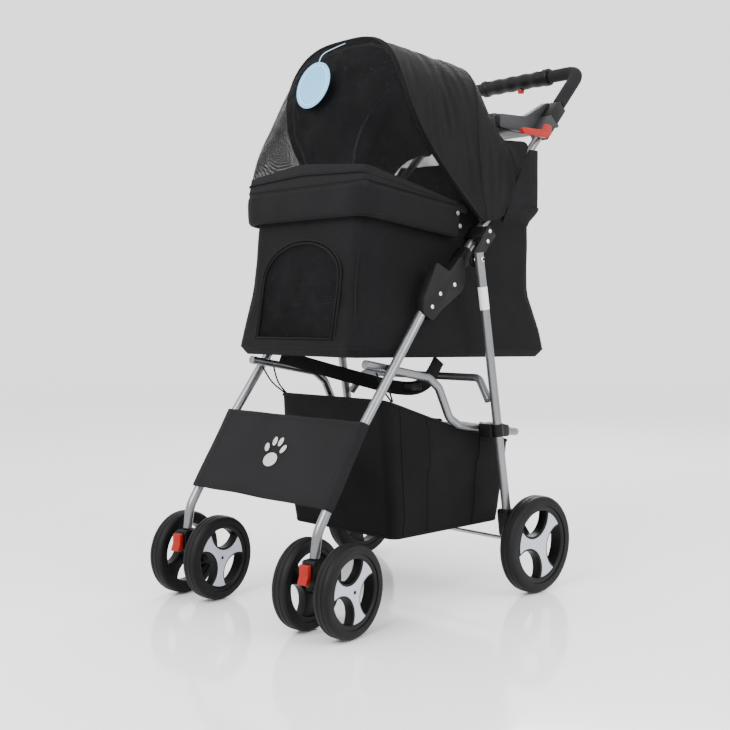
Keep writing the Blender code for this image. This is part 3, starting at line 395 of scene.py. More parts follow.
def polished(node, body, finish, bevel, slot, angle=35.0):
    """A CAD node's shape with softened edges, in the node's place."""
    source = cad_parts[node]
    bm = bmesh.new()
    bm.from_mesh(source.data)
    bm.transform(source.matrix_world)
    bmesh.ops.remove_doubles(bm, verts=bm.verts, dist=1e-5)
    bmesh.ops.dissolve_limit(bm, angle_limit=math.radians(1.0), verts=bm.verts, edges=bm.edges)
    name = f"{node}_finish"
    made = mesh_object(name, mesh_from(bm, name), finish)
    with_modifiers(made, bevel=bevel)
    made = applied(made)
    smooth(made.data, angle)
    return finished(made, body, node, slot=slot)


def rounded_path(points, radius, steps=10):
    """The points with each inner corner replaced by an arc of up to this radius."""
    points = [Vector(p) for p in points]
    path = [points[0]]
    for before, corner, after in zip(points, points[1:], points[2:]):
        into = (before - corner).normalized()
        out = (after - corner).normalized()
        half = max(into.angle(out) / 2, 0.01)
        reach = min(radius / math.tan(half), 0.45 * (before - corner).length, 0.45 * (after - corner).length)
        start = corner + into * reach
        end = corner + out * reach
        for step in range(steps + 1):
            t = step / steps
            path.append((1 - t) ** 2 * start + 2 * t * (1 - t) * corner + t**2 * end)
    path.append(points[-1])
    return path


def curve_object(name, points, radius=0.0, closed=False, resolution=8):
    curve = bpy.data.curves.new(name, "CURVE")
    curve.dimensions = "3D"
    curve.bevel_depth = radius
    curve.bevel_resolution = resolution
    curve.use_fill_caps = not closed
    spline = curve.splines.new("POLY")
    spline.points.add(len(points) - 1)
    spline.use_cyclic_u = closed
    for point, where in zip(spline.points, points):
        point.co = (*where, 1.0)
    made = bpy.data.objects.new(name, curve)
    bpy.context.scene.collection.objects.link(made)
    return made


def tube(name, points, radius, finish, closed=False, resolution=8):
    """A round bar along the points, as a smooth-shaded mesh."""
    made = curve_object(name, points, radius, closed, resolution)
    mesh = evaluated_mesh(made)
    bpy.data.objects.remove(made)
    bm = bmesh.new()
    bm.from_mesh(mesh)
    bmesh.ops.remove_doubles(bm, verts=bm.verts, dist=radius * 0.01)
    bmesh.ops.recalc_face_normals(bm, faces=bm.faces)
    bm.to_mesh(mesh)
    bm.free()
    made = mesh_object(name, mesh, finish)
    smooth(mesh, 50)
    return made


def turned(name, profile, finish, steps=72, closed=True):
    """A shape turned about X through its section of (x, radius) points."""
    bm = bmesh.new()
    rings = []
    for step in range(steps):
        angle = math.tau * step / steps
        rings.append([bm.verts.new((x, r * math.cos(angle), r * math.sin(angle))) for x, r in profile])
    count = len(profile)
    for i, ring in enumerate(rings):
        after = rings[(i + 1) % steps]
        for j in range(count if closed else count - 1):
            k = (j + 1) % count
            bm.faces.new((ring[j], ring[k], after[k], after[j]))
    if not closed:
        bm.faces.new([ring[0] for ring in rings])
        bm.faces.new([ring[-1] for ring in reversed(rings)])
    bmesh.ops.recalc_face_normals(bm, faces=bm.faces)
    mesh = mesh_from(bm, name)
    made = mesh_object(name, mesh, finish)
    smooth(mesh, 32)
    return made


def sheet_mesh(name, rows, finish, closed=False):
    """A sheet through rows of points, with a UV map in metres along and down it."""
    bm = bmesh.new()
    layer = bm.loops.layers.uv.new("UVMap")
    verts = [[bm.verts.new(p) for p in row] for row in rows]
    count = len(rows[0])
    middle = rows[len(rows) // 2]
    along = [0.0]
    for i in range(count):
        along.append(along[-1] + (middle[(i + 1) % count] - middle[i]).length)
    down = [0.0]
    half = count // 2
    for upper, lower in zip(rows, rows[1:]):
        down.append(down[-1] + (lower[half] - upper[half]).length)
    for r in range(len(rows) - 1):
        for i in range(count if closed else count - 1):
            j = (i + 1) % count
            face = bm.faces.new((verts[r][i], verts[r][j], verts[r + 1][j], verts[r + 1][i]))
            places = ((along[i], down[r]), (along[i + 1], down[r]), (along[i + 1], down[r + 1]),
                      (along[i], down[r + 1]))
            for loop, place in zip(face.loops, places):
                loop[layer].uv = place
    mesh = mesh_from(bm, name)
    made = mesh_object(name, mesh, finish)
    smooth(mesh, 60)
    return made


def shell(name, rows, finish, wall, offset, closed=False, levels=1):
    """A cloth sheet with a thickness and softened folds."""
    made = sheet_mesh(name, rows, finish, closed)
    with_modifiers(made, levels=levels)
    with_modifiers(made, wall=wall, offset=offset)
    made = applied(made)
    smooth(made.data, 60)
    return made


def block(name, low, high, finish, bevel=0.001):
    """A box between two corners with softened edges."""
    low = Vector(low)
    high = Vector(high)
    bm = bmesh.new()
    bmesh.ops.create_cube(bm, size=1.0)
    bmesh.ops.scale(bm, vec=high - low, verts=bm.verts)
    bmesh.ops.translate(bm, vec=(low + high) / 2, verts=bm.verts)
    mesh = mesh_from(bm, name)
    made = applied(with_modifiers(mesh_object(name, mesh, finish), bevel=bevel, segments=3))
    smooth(made.data)
    return made


def slab(name, near, far, finish):
    """A closed solid between two outlines of as many points."""
    bm = bmesh.new()
    near = [bm.verts.new(p) for p in near]
    far = [bm.verts.new(p) for p in far]
    bm.faces.new(near)
    bm.faces.new(far)
    for i in range(len(near)):
        j = (i + 1) % len(near)
        bm.faces.new((near[i], near[j], far[j], far[i]))
    bmesh.ops.recalc_face_normals(bm, faces=bm.faces)
    return mesh_object(name, mesh_from(bm, name), finish)


def plate_piece(name, outline, low, high, finish, bevel):
    """A plate with its outline in Y and Z, between two X values, with softened edges."""
    near, far = ([(x, y, z) for y, z in outline] for x in (low, high))
    made = applied(with_modifiers(slab(name, near, far, finish), bevel=bevel, segments=3))
    smooth(made.data, 30)
    return made


def resampled(points, pitch):
    """Points at about an even pitch along a line of points."""
    lengths = [0.0]
    for one, two in zip(points, points[1:]):
        lengths.append(lengths[-1] + (two - one).length)
    count = max(int(lengths[-1] / pitch), 2)
    result = []
    at = 0
    for i in range(count + 1):
        want = lengths[-1] * i / count
        while at < len(points) - 2 and lengths[at + 1] < want:
            at += 1
        share = (want - lengths[at]) / max(lengths[at + 1] - lengths[at], 1e-9)
        result.append(points[at].lerp(points[at + 1], share))
    return result


def ringed_tube(name, points, radius_at, finish, sides=36):
    """A closed round bar whose radius changes along it."""
    bm = bmesh.new()
    rings = []
    count = len(points)
    side_way = None
    for i, point in enumerate(points):
        ahead = (points[min(i + 1, count - 1)] - points[max(i - 1, 0)]).normalized()
        if side_way is None:
            side_way = ahead.orthogonal()
        side_way = (side_way - ahead * side_way.dot(ahead)).normalized()
        other = ahead.cross(side_way)
        r = radius_at(i / (count - 1), i)
        turns = [math.tau * k / sides for k in range(sides)]
        ring = [point + side_way * r * math.cos(a) + other * r * math.sin(a) for a in turns]
        rings.append([bm.verts.new(p) for p in ring])
    for one, two in zip(rings, rings[1:]):
        for k in range(sides):
            j = (k + 1) % sides
            bm.faces.new((one[k], one[j], two[j], two[k]))
    bm.faces.new(rings[0])
    bm.faces.new(rings[-1])
    bmesh.ops.recalc_face_normals(bm, faces=bm.faces)
    mesh = mesh_from(bm, name)
    made = mesh_object(name, mesh, finish)
    smooth(mesh, 50)
    return made


def spline(points, per=14):
    """A smooth line through the points."""
    result = []
    count = len(points)
    for i in range(count - 1):
        a, b, c, d = (points[min(max(k, 0), count - 1)] for k in (i - 1, i, i + 1, i + 2))
        for step in range(per):
            t = step / per
            spot = 2 * b + (c - a) * t + (2 * a - 5 * b + 4 * c - d) * t * t + (3 * b - a - 3 * c + d) * t**3
            result.append(0.5 * spot)
    result.append(points[-1].copy())
    return result


def ribbon(name, line, across, width, finish, wall=0.0015):
    """A flat woven strap along a line."""
    rows = []
    count = len(line)
    for i, point in enumerate(line):
        ahead = (line[min(i + 1, count - 1)] - line[max(i - 1, 0)]).normalized()
        wide = (across - ahead * across.dot(ahead)).normalized()
        thick = ahead.cross(wide)
        shares = [k / 6 for k in range(7)]
        swell = thick * 0.0004
        rows.append([point + wide * (width * (t - 0.5)) + swell * math.sin(math.pi * t) for t in shares])
    made = sheet_mesh(name, rows, finish)
    made = applied(with_modifiers(made, wall=wall, offset=0.0))
    smooth(made.data, 50)
    return made


def crease(point, scale, depth, seed=0.0):
    """A smooth wander from -depth to depth at a point."""
    return depth * noise.noise(Vector(point) * scale + Vector((seed, seed * 1.7, seed * 0.6)))


def lerp(a, b, t):
    return a + (b - a) * t


def ease(t):
    t = min(max(t, 0.0), 1.0)
    return t * t * (3 - 2 * t)


def at_x(point, x):
    return Vector((x, point.y, point.z))


def flip(points, side):
    return [Vector((p.x * side, p.y, p.z)) for p in points]


def along_handle(distance, off=0.0, x=0.0):
    up = Vector((0, math.cos(HANDLE_RISE), math.sin(HANDLE_RISE)))
    return HANDLE_HINGE + up * distance + ACROSS_HANDLE * off + Vector((x, 0, 0))


# ---------------------------------------------------------------- node trees for repeated pieces


def new_tree(name, sizes):
    """A geometry tree with a geometry input, named sizes and a material."""
    tree = bpy.data.node_groups.new(name, "GeometryNodeTree")
    tree.interface.new_socket("Geometry", in_out="INPUT", socket_type="NodeSocketGeometry")
    for label, value in sizes:
        socket = tree.interface.new_socket(label, in_out="INPUT", socket_type="NodeSocketFloat")
        socket.default_value = value
    tree.interface.new_socket("Material", in_out="INPUT", socket_type="NodeSocketMaterial")
    tree.interface.new_socket("Geometry", in_out="OUTPUT", socket_type="NodeSocketGeometry")
    entry = tree.nodes.new("NodeGroupInput")
    leave = tree.nodes.new("NodeGroupOutput")
    return tree, entry, leave


def end_tree(tree, entry, leave, instances):
    """Realises the instances, shades them and sets their material."""
    real = tree.nodes.new("GeometryNodeRealizeInstances")
    shade = tree.nodes.new("GeometryNodeSetShadeSmooth")
    paint = tree.nodes.new("GeometryNodeSetMaterial")
    tree.links.new(instances, real.inputs["Geometry"])
    tree.links.new(real.outputs["Geometry"], shade.inputs["Geometry"])
    tree.links.new(shade.outputs["Geometry"], paint.inputs["Geometry"])
    tree.links.new(entry.outputs["Material"], paint.inputs["Material"])
    tree.links.new(paint.outputs["Geometry"], leave.inputs["Geometry"])


def combine(tree, x, y, z):
    made = tree.nodes.new("ShaderNodeCombineXYZ")
    for socket, value in zip(("X", "Y", "Z"), (x, y, z)):
        tree.links.new(value, made.inputs[socket])
    return made.outputs["Vector"]


def stitch_tree():
    """Stitches at a pitch along a curve."""
    tree, entry, leave = new_tree("stitch_run", (("Pitch", 0.006), ("Length", 0.004), ("Thickness", 0.0008)))
    points = tree.nodes.new("GeometryNodeCurveToPoints")
    points.mode = "LENGTH"
    tree.links.new(entry.outputs["Geometry"], points.inputs["Curve"])
    tree.links.new(entry.outputs["Pitch"], points.inputs["Length"])
    stitch = tree.nodes.new("GeometryNodeMeshUVSphere")
    stitch.inputs["Segments"].default_value = 6
    stitch.inputs["Rings"].default_value = 4
    stitch.inputs["Radius"].default_value = 0.5
    place = tree.nodes.new("GeometryNodeInstanceOnPoints")
    tree.links.new(points.outputs["Points"], place.inputs["Points"])
    tree.links.new(stitch.outputs["Mesh"], place.inputs["Instance"])
    tree.links.new(points.outputs["Rotation"], place.inputs["Rotation"])
    thick = entry.outputs["Thickness"]
    tree.links.new(combine(tree, thick, thick, entry.outputs["Length"]), place.inputs["Scale"])
    end_tree(tree, entry, leave, place.outputs["Instances"])
    return tree


def head_tree():
    """A domed head on each point, turned to the point's own direction."""
    tree, entry, leave = new_tree("domed_heads", (("Radius", 0.003), ("Height", 0.0015)))
    points = tree.nodes.new("GeometryNodeMeshToPoints")
    tree.links.new(entry.outputs["Geometry"], points.inputs["Mesh"])
    head = tree.nodes.new("GeometryNodeMeshUVSphere")
    head.inputs["Segments"].default_value = 20
    head.inputs["Rings"].default_value = 10
    head.inputs["Radius"].default_value = 1.0
    facing = tree.nodes.new("GeometryNodeInputNamedAttribute")
    facing.data_type = "FLOAT_VECTOR"
    facing.inputs["Name"].default_value = "facing"
    turn = tree.nodes.new("FunctionNodeAlignRotationToVector")
    turn.axis = "Z"
    tree.links.new(facing.outputs["Attribute"], turn.inputs["Vector"])
    place = tree.nodes.new("GeometryNodeInstanceOnPoints")
    tree.links.new(points.outputs["Points"], place.inputs["Points"])
    tree.links.new(head.outputs["Mesh"], place.inputs["Instance"])
    tree.links.new(turn.outputs["Rotation"], place.inputs["Rotation"])
    wide = entry.outputs["Radius"]
    tree.links.new(combine(tree, wide, wide, entry.outputs["Height"]), place.inputs["Scale"])
    end_tree(tree, entry, leave, place.outputs["Instances"])
    return tree


STITCHES = stitch_tree()
HEADS = head_tree()


def grown(obj, tree, name, finish, values):
    """The tree's result on the object as a plain mesh object, in the object's place."""
    change = obj.modifiers.new("grow", "NODES")
    change.node_group = tree
    for item in tree.interface.items_tree:
        if item.in_out == "INPUT" and item.name in values:
            change[item.identifier] = values[item.name]
        if item.in_out == "INPUT" and item.name == "Material":
            change[item.identifier] = finish
    mesh = evaluated_mesh(obj)
    bpy.data.objects.remove(obj)
    made = bpy.data.objects.new(name, mesh)
    bpy.context.scene.collection.objects.link(made)
    if not mesh.materials:
        mesh.materials.append(finish)
    return made


def stitches(name, points, finish=None, pitch=0.006, length=0.0042, thickness=0.0009):
    """A run of stitches along the points."""
    path = curve_object(name + "_path", points)
    sizes = {"Pitch": pitch, "Length": length, "Thickness": thickness}
    return grown(path, STITCHES, name, finish or THREAD, sizes)


def heads(name, spots, body, radius, height, finish):
    """Domed heads at (point, direction) pairs."""
    mesh = bpy.data.meshes.new(name + "_spots")
    mesh.from_pydata([tuple(p) for p, _ in spots], [], [])
    facing = mesh.attributes.new("facing", "FLOAT_VECTOR", "POINT")
    for item, (_, direction) in zip(facing.data, spots):
        item.vector = direction
    holder = mesh_object(name + "_spots", mesh, finish)
    made = grown(holder, HEADS, name, finish, {"Radius": radius, "Height": height})
    return finished(made, body, slot=None)


# ---------------------------------------------------------------- round frame tubes


# lines in Y and Z, from the foot up or the front back
FRONT_LEG_LINE = ((-0.340, 0.1244), (-0.334, 0.162), (-0.235, 0.322), (-0.097, 0.505))
FRONT_LEG_BEND = 0.06
RAIL_BOSS_ENDS = (0.1665, 0.1554)
RAIL_BOSS_R = 0.0058
REAR_LEG_FOOT = (0.103, 0.1154)
REAR_LEG_PAST_PIVOT = (-0.0021, 0.0118)
RAIL_CLIP = ((0.060, 0.279), (0.112, 0.279), (0.112, 0.299), (0.086, 0.305), (0.060, 0.303))
RAIL_CLIP_ENDS = (0.1555, 0.1850)
CLIP_BAND_SHARE = 0.365
CLIP_BAND_HALF = 0.011
CLIP_BAND_WALL = 0.0016
LABEL_SHARES = (0.80, 0.88)
LABEL_WALL = 0.00025
BRACE_LINE = ((0.1765, 0.0630, 0.345), (0.147, 0.071, 0.384))
BRACE_BEND = 0.02
AXLE_HALF = 0.2386
AXLE_R = 0.004
RAIL_LINE = ((-0.213, 0.4165), (-0.156, 0.4065), (-0.061, 0.389), (-0.036, 0.371), (-0.008, 0.317),
             (0.016, 0.303), (0.189, 0.278))
RAIL_BEND = 0.024

for side_name, side in SIDES:
    leg_line = rounded_path([(side * FRONT_LEG_X, *spot) for spot in FRONT_LEG_LINE], FRONT_LEG_BEND)
    obj = tube(f"front_leg_{side_name}_bar", leg_line, TUBE_R, SILVER)
    finished(obj, "front_frame", f"front_leg_{side_name}", slot="silver_tube")
    rail_end = [RAIL_PIVOT + Vector((side * x, 0, 0)) for x in RAIL_BOSS_ENDS]
    finished(tube(f"rail_boss_{side_name}", rail_end, RAIL_BOSS_R, BLACK_PLASTIC), "front_frame")
    foot = Vector((side * REAR_LEG_X, *REAR_LEG_FOOT))
    top = LEG_PIVOT + Vector((side * REAR_LEG_X, *REAR_LEG_PAST_PIVOT))
    obj = tube(f"rear_leg_{side_name}_bar", [foot, top], TUBE_R, SILVER)
    finished(obj, "rear_frame", f"rear_leg_{side_name}", slot="silver_tube")
    low, high = sorted(side * x for x in RAIL_CLIP_ENDS)
    finished(plate_piece(f"rail_clip_{side_name}", RAIL_CLIP, low, high, BLACK_PLASTIC, 0.002), "rear_frame")
    middle = foot.lerp(top, CLIP_BAND_SHARE)
    reach = (top - foot).normalized() * CLIP_BAND_HALF
    band_line = [middle - reach, middle + reach]
    finished(tube(f"clip_band_{side_name}", band_line, TUBE_R + CLIP_BAND_WALL, BLACK_PLASTIC), "rear_frame")
    label_line = [foot.lerp(top, share) for share in LABEL_SHARES]
    finished(tube(f"leg_label_{side_name}", label_line, TUBE_R + LABEL_WALL, LABEL), "rear_frame")
    ends = [along_handle(0.0, 0.0, side * HANDLE_X), along_handle(HANDLE_SPLIT - 0.001, 0.0, side * HANDLE_X)]
    obj = tube(f"handle_tube_{side_name}_bar", ends, TUBE_R, SILVER)
    finished(obj, "handle_frame", f"handle_tube_{side_name}", slot="silver_tube")

brace_half = [Vector(p) for p in BRACE_LINE]
brace_path = rounded_path(brace_half + flip(reversed(brace_half), -1), BRACE_BEND)
finished(tube("cross_brace_bar", brace_path, BRACE_R, DARK_STEEL), "rear_frame", "rear_cross_brace",
         slot="dark_steel")
axle_path = [Vector((x, *REAR_WHEEL_CENTRE[1:])) for x in (-AXLE_HALF, AXLE_HALF)]
finished(tube("rear_axle_bar", axle_path, AXLE_R, AXLE_STEEL), "rear_frame", "rear_axle", slot="steel_axle")
rail_left = [Vector((RAIL_X, y, z)) for y, z in RAIL_LINE]
rail_path = rounded_path(rail_left + flip(reversed(rail_left), -1), RAIL_BEND)
finished(tube("side_rail_loop", rail_path, RAIL_R, SILVER), "rail_frame", "side_rails", slot="silver_tube")
polished("footrest_rod", "front_frame", SILVER, 0.0004, "silver_tube")

# ---------------------------------------------------------------- moulded pieces

# node, body (a trailing _ takes the side's name), finish, edge radius and slot
MOULDED = (
    ("rear_wheel_carrier", "rear_frame", BLACK_PLASTIC, 0.0018, "black_plastic"),
    ("brake_pedal", "brake_pedal_", RED_PLASTIC, 0.0016, "red_plastic"),
    ("caster_fork", "caster_", BLACK_PLASTIC, 0.0016, "black_plastic"),
    ("caster_lock", "caster_lock_", RED_PLASTIC, 0.0016, "red_plastic"),
    ("lower_bracket", "front_frame", BLACK_PLASTIC, 0.0012, "black_plastic"),
    ("upper_bracket", "handle_frame", BLACK_PLASTIC, 0.0014, "black_plastic"),
    ("latch_sleeve", "latch_sleeve_", BLACK_PLASTIC, 0.0018, "black_plastic"),
    ("grip_knuckle", "grip_arm", BLACK_PLASTIC, 0.0014, "black_plastic"),
    ("tray_latch", "tray_latch_", RED_PLASTIC, 0.0012, "red_plastic"),
)
LOWER_RIVET_X = 0.1781
LOWER_RIVETS = ((-0.066, 0.532), (-0.030, 0.548), (-0.086, 0.510))
UPPER_RIVET_X = 0.1823
UPPER_RIVETS = ((0.105, -0.004), (0.122, 0.004))
LEG_RIVET_X = 0.1992
RAIL_RIVET_X = 0.1545

for side_name, side in SIDES:
    for node, body, finish, edge, slot in MOULDED:
        body = body + side_name if body.endswith("_") else body
        polished(f"{node}_{side_name}", body, finish, edge, slot)
    out = Vector((side, 0.0, 0.0))
    lower = [(Vector((side * LOWER_RIVET_X, y, z)), out) for y, z in LOWER_RIVETS]
    heads(f"lower_rivets_{side_name}", lower, "front_frame", 0.0038, 0.0016, RIVET)
    upper = [(Vector((side * UPPER_RIVET_X, *along_handle(s, n).yz)), out) for s, n in UPPER_RIVETS]
    upper.append((Vector((side * UPPER_RIVET_X, *LEG_PIVOT.yz)), out))
    heads(f"upper_rivets_{side_name}", upper, "handle_frame", 0.0036, 0.0016, RIVET)
    pivot = [(Vector((side * LEG_RIVET_X, *LEG_PIVOT.yz)), out)]
    heads(f"leg_rivet_{side_name}", pivot, "rear_frame", 0.0045, 0.0018, RIVET)
    inner = [(Vector((side * RAIL_RIVET_X, *RAIL_PIVOT.yz)), -out)]
    heads(f"rail_rivet_{side_name}", inner, "rail_frame", 0.004, 0.0014, RIVET)
polished("parent_tray", "handle_frame", GREY_PLASTIC, 0.0016, "black_plastic")
polished("grip_button", "grip_button", RED_PLASTIC, 0.0010, "red_plastic")
for hoop, body in (("canopy_front_hoop", "front_hoop"), ("canopy_middle_hoop", "middle_hoop")):
    polished(hoop, body, DARK_STEEL, 0.0, "dark_steel", angle=60)

# ---------------------------------------------------------------- grip bar

GRIP_BAR_START = 0.441
FOAM_START = 0.472
GRIP_BEND = 0.034
HOUSING_R = 0.0156
HOUSING_SWELL = 0.0007
HOUSING_SWELL_PITCH = 0.034
HOUSING_SWELL_START = 0.007
HOUSING_COLLAR = (0.012, 0.0172)
HOUSING_END = (0.0015, 0.0160)
HOUSING_BORE_R = 0.0084
HOUSING_STEPS = 72
SCREW_OUT = 0.0166
SCREW_X = (-0.074, 0.060)

grip_corner = along_handle(HANDLE_LENGTH)
bar_left = [along_handle(GRIP_BAR_START, 0.0, HANDLE_X), at_x(grip_corner, HANDLE_X),
            at_x(grip_corner, -HANDLE_X)]
bar_path = rounded_path([*bar_left, along_handle(GRIP_BAR_START, 0.0, -HANDLE_X)], GRIP_BEND, 14)
finished(tube("grip_bar", bar_path, TUBE_R, SILVER, resolution=10), "grip_arm", "grip_frame",
         slot="silver_tube")


for side_name, side in SIDES:
    end_x = GRIP_HIGH_X + 0.001 if side > 0 else GRIP_LOW_X - 0.001
    corner = [along_handle(FOAM_START, 0.0, side * HANDLE_X), at_x(grip_corner, side * HANDLE_X)]
    path = resampled(rounded_path([*corner, at_x(grip_corner, end_x)], GRIP_BEND, 14), 0.0022)

    def foam_radius(share, i):
        edge = min(share, 1 - share)
        dent = noise.noise(Vector((i * 0.35, side, 0.0)))
        return FOAM_R * (0.93 + 0.07 * ease(edge / 0.03)) + 0.0003 * dent

    obj = ringed_tube(f"foam_{side_name}", path, foam_radius, FOAM)
    finished(obj, "grip_arm", f"foam_sleeve_{side_name}", slot="foam")

housing = []
for i in range(HOUSING_STEPS + 1):
    x = lerp(GRIP_LOW_X, GRIP_HIGH_X, i / HOUSING_STEPS)
    r = HOUSING_R + HOUSING_SWELL * math.sin(math.tau * (x - HOUSING_SWELL_START) / HOUSING_SWELL_PITCH)
    edge = min(x - GRIP_LOW_X, GRIP_HIGH_X - x)
    for within, radius in (HOUSING_COLLAR, HOUSING_END):
        if edge < within:
            r = radius
    housing.append((x, r))
housing.append((GRIP_HIGH_X, HOUSING_BORE_R))
housing.append((GRIP_LOW_X, HOUSING_BORE_R))
obj = turned("grip_housing_shell", housing, BLACK_PLASTIC, 48)
obj.data.transform(Matrix.Translation(grip_corner))
finished(obj, "grip_arm", "grip_housing", slot="black_plastic")
facing = Vector((0, -0.55, 0.83)).normalized()
screws = [(at_x(grip_corner + facing * SCREW_OUT, x), facing) for x in SCREW_X]
heads("grip_screws", screws, "grip_arm", 0.0036, 0.0010, RIVET)

# ---------------------------------------------------------------- wheels


# shares of the wheel's radius, unless they say otherwise
TYRE_INNER = 0.80
TYRE_BEAD = 0.98
# half of the tread's section: shares of half the width and of the radius
TREAD = ((1.0, 0.86), (1.0, 0.925), (0.93, 0.962), (0.78, 0.985), (0.62, 0.996), (0.40, 0.9985),
         (0.34, 0.985),
         (0.26, 0.985), (0.20, 1.0))
RING_OUTER = 0.9935
RING_INNER = 0.700
RING_LIP = 0.86
ARM_REACH = 0.712
ARM_BITE = 0.430
INLAY_REACH = 0.680
INLAY_BITE = 0.478
BITE_AWAY = 0.66
# metres
HUB_BORE_R = 0.006
HUB_SUNK = 0.0034
ARM_SUNK = 0.0036
INLAY_SUNK = (0.0040, 0.0026)
FRONT_HUB_IN = 0.0285
REAR_HUB_IN = 0.0221
# degrees
ARM_TURNS = {("left", "outer"): 45, ("left", "inner"): 30, ("right", "outer"): 80, ("right", "inner"): 20}
REAR_ARM_TURN = 50


def spoke_outline(reach, away, bite, start, steps=16):
    """A three-armed star with hollow sides: a disc of one radius less three round bites."""
    fan = math.acos((reach * reach + away * away - bite * bite) / (2 * reach * away))
    sweep = math.acos((away * away + bite * bite - reach * reach) / (2 * away * bite))
    points = []
    for arm in range(3):
        middle = start + math.pi / 3 + math.tau * arm / 3
        centre = Vector((math.cos(middle), math.sin(middle))) * away
        for i in range(steps + 1):
            turn = middle + math.pi + sweep * (1 - 2 * i / steps)
            points.append(centre + Vector((math.cos(turn), math.sin(turn))) * bite)
        for i in range(1, steps):
            turn = middle + fan + (math.tau / 3 - 2 * fan) * i / steps
            points.append(Vector((math.cos(turn), math.sin(turn))) * reach)
    return [(p.x, p.y) for p in points]


def wheel(name, body, where, radius, width, hub_in, start, nodes):
    """Tyre, rim, three-armed spider and pale inlay, facing +X before it is placed."""
    half = width / 2
    inner = radius * TYRE_INNER
    tread = [(-half * TYRE_BEAD, inner)] + [(-half * across, radius * out) for across, out in TREAD]
    tyre = turned(f"{name}_tyre", tread + [(-x, r) for x, r in reversed(tread)], RUBBER, 96)
    ring_out = inner * RING_OUTER
    ring_in = radius * RING_INNER
    lip = half * RING_LIP
    ring_profile = [(-lip, ring_out), (-lip, ring_in + 0.003), (-lip + 0.002, ring_in),
                    (lip - 0.002, ring_in)]
    ring_profile += [(lip, ring_in + 0.003), (lip, ring_out), (lip * 0.6, ring_out), (-lip * 0.6, ring_out)]
    ring = turned(f"{name}_ring", ring_profile, BLACK_PLASTIC, 96)
    hub_face = half - HUB_SUNK
    hub_profile = [(-hub_in, HUB_BORE_R), (-hub_in, radius * 0.17), (-half * 0.5, radius * 0.2)]
    hub_profile += [(hub_face, radius * 0.2), (hub_face, HUB_BORE_R)]
    hub = turned(f"{name}_hub", hub_profile, BLACK_PLASTIC, 48)
    arms = spoke_outline(radius * ARM_REACH, radius * BITE_AWAY, radius * ARM_BITE, start)
    spider = plate_piece(f"{name}_spider", arms, -half * 0.45, half - ARM_SUNK, BLACK_PLASTIC, 0.0012)
    pale = spoke_outline(radius * INLAY_REACH, radius * BITE_AWAY, radius * INLAY_BITE, start)
    inlay = plate_piece(f"{name}_inlay", pale, half - INLAY_SUNK[0], half - INLAY_SUNK[1], INLAY, 0.0005)
    for piece in (tyre, ring, hub, spider, inlay):
        piece.data.transform(where)
        finished(piece, body)
    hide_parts(nodes[0])
    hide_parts(nodes[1])


for side_name, side in SIDES:
    caster = Matrix.Translation((side * FRONT_LEG_X, CASTER_STEM_Y, 0)) @ Matrix.Rotation(CASTER_TURN, 4, "Z")
    for place_name, out in (("outer", side), ("inner", -side)):
        radius, width = FRONT_WHEEL
        name = f"{side_name}_{place_name}"
        spot = caster @ Matrix.Translation((out * TWIN_SPACING / 2, CASTER_TRAIL, radius))
        faced = spot @ Matrix.Rotation(0.0 if out > 0 else math.pi, 4, "Z")
        start = math.radians(ARM_TURNS[side_name, place_name])
        nodes = (f"front_tyre_{name}", f"front_rim_{name}")
        wheel(f"front_wheel_{name}", f"front_wheel_{name}", faced, radius, width, FRONT_HUB_IN, start, nodes)
    radius, width = REAR_WHEEL
    x, y, z = REAR_WHEEL_CENTRE
    faced = Matrix.Translation((side * x, y, z)) @ Matrix.Rotation(0.0 if side > 0 else math.pi, 4, "Z")
    nodes = (f"rear_tyre_{side_name}", f"rear_rim_{side_name}")
    start = math.radians(REAR_ARM_TURN)
    wheel(f"rear_wheel_{side_name}", f"rear_wheel_{side_name}", faced, radius, width, REAR_HUB_IN, start,
          nodes)

# ---------------------------------------------------------------- cloth helpers


def folding(obj, *nodes, keep=0.28, slot="oxford_cloth"):
    """Cloth that rides on the handle frame."""
    finished(obj, "handle_frame", *nodes, slot=slot if nodes else None)
    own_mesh(obj)
    return obj


def seam(name, points, radius, finish=None, closed=False):
    return tube(name, points, radius, finish or BINDING, closed, 4)


def box_uv(mesh):
    """A UV map in metres, each face laid flat along its main direction."""
    layer = mesh.uv_layers.get("UVMap") or mesh.uv_layers.new(name="UVMap")
    for face in mesh.polygons:
        size = [abs(v) for v in face.normal]
        main = size.index(max(size))
        keep = [a for a in range(3) if a != main]
        for loop in face.loop_indices:
            co = mesh.vertices[mesh.loops[loop].vertex_index].co
            layer.data[loop].uv = (co[keep[0]], co[keep[1]])


def cloth_copy(node, finish, cell, depth, scale):
    """A CAD cloth panel's shape with a finer mesh, soft creases and a UV map."""
    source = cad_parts[node]
    bm = bmesh.new()
    bm.from_mesh(source.data)
    bm.transform(source.matrix_world)
    bmesh.ops.remove_doubles(bm, verts=bm.verts, dist=1e-5)
    for _ in range(5):
        long_edges = [e for e in bm.edges if e.calc_length() > cell]
        if not long_edges:
            break
        bmesh.ops.subdivide_edges(bm, edges=long_edges, cuts=1)
        bmesh.ops.triangulate(bm, faces=[f for f in bm.faces if len(f.verts) > 4])
    bm.normal_update()
    shift = [(v, Vector((crease(v.co, scale, depth), crease(v.co, scale, depth, 3.1),
                         crease(v.co, scale, depth, 7.7))))
             for v in bm.verts]
    for v, move in shift:
        v.co += move
    mesh = mesh_from(bm, f"{node}_cloth")
    made = mesh_object(f"{node}_cloth", mesh, finish)
    box_uv(mesh)
    smooth(mesh, 45)
    return made


# ---------------------------------------------------------------- cabin

CABIN_DROP = 0.010
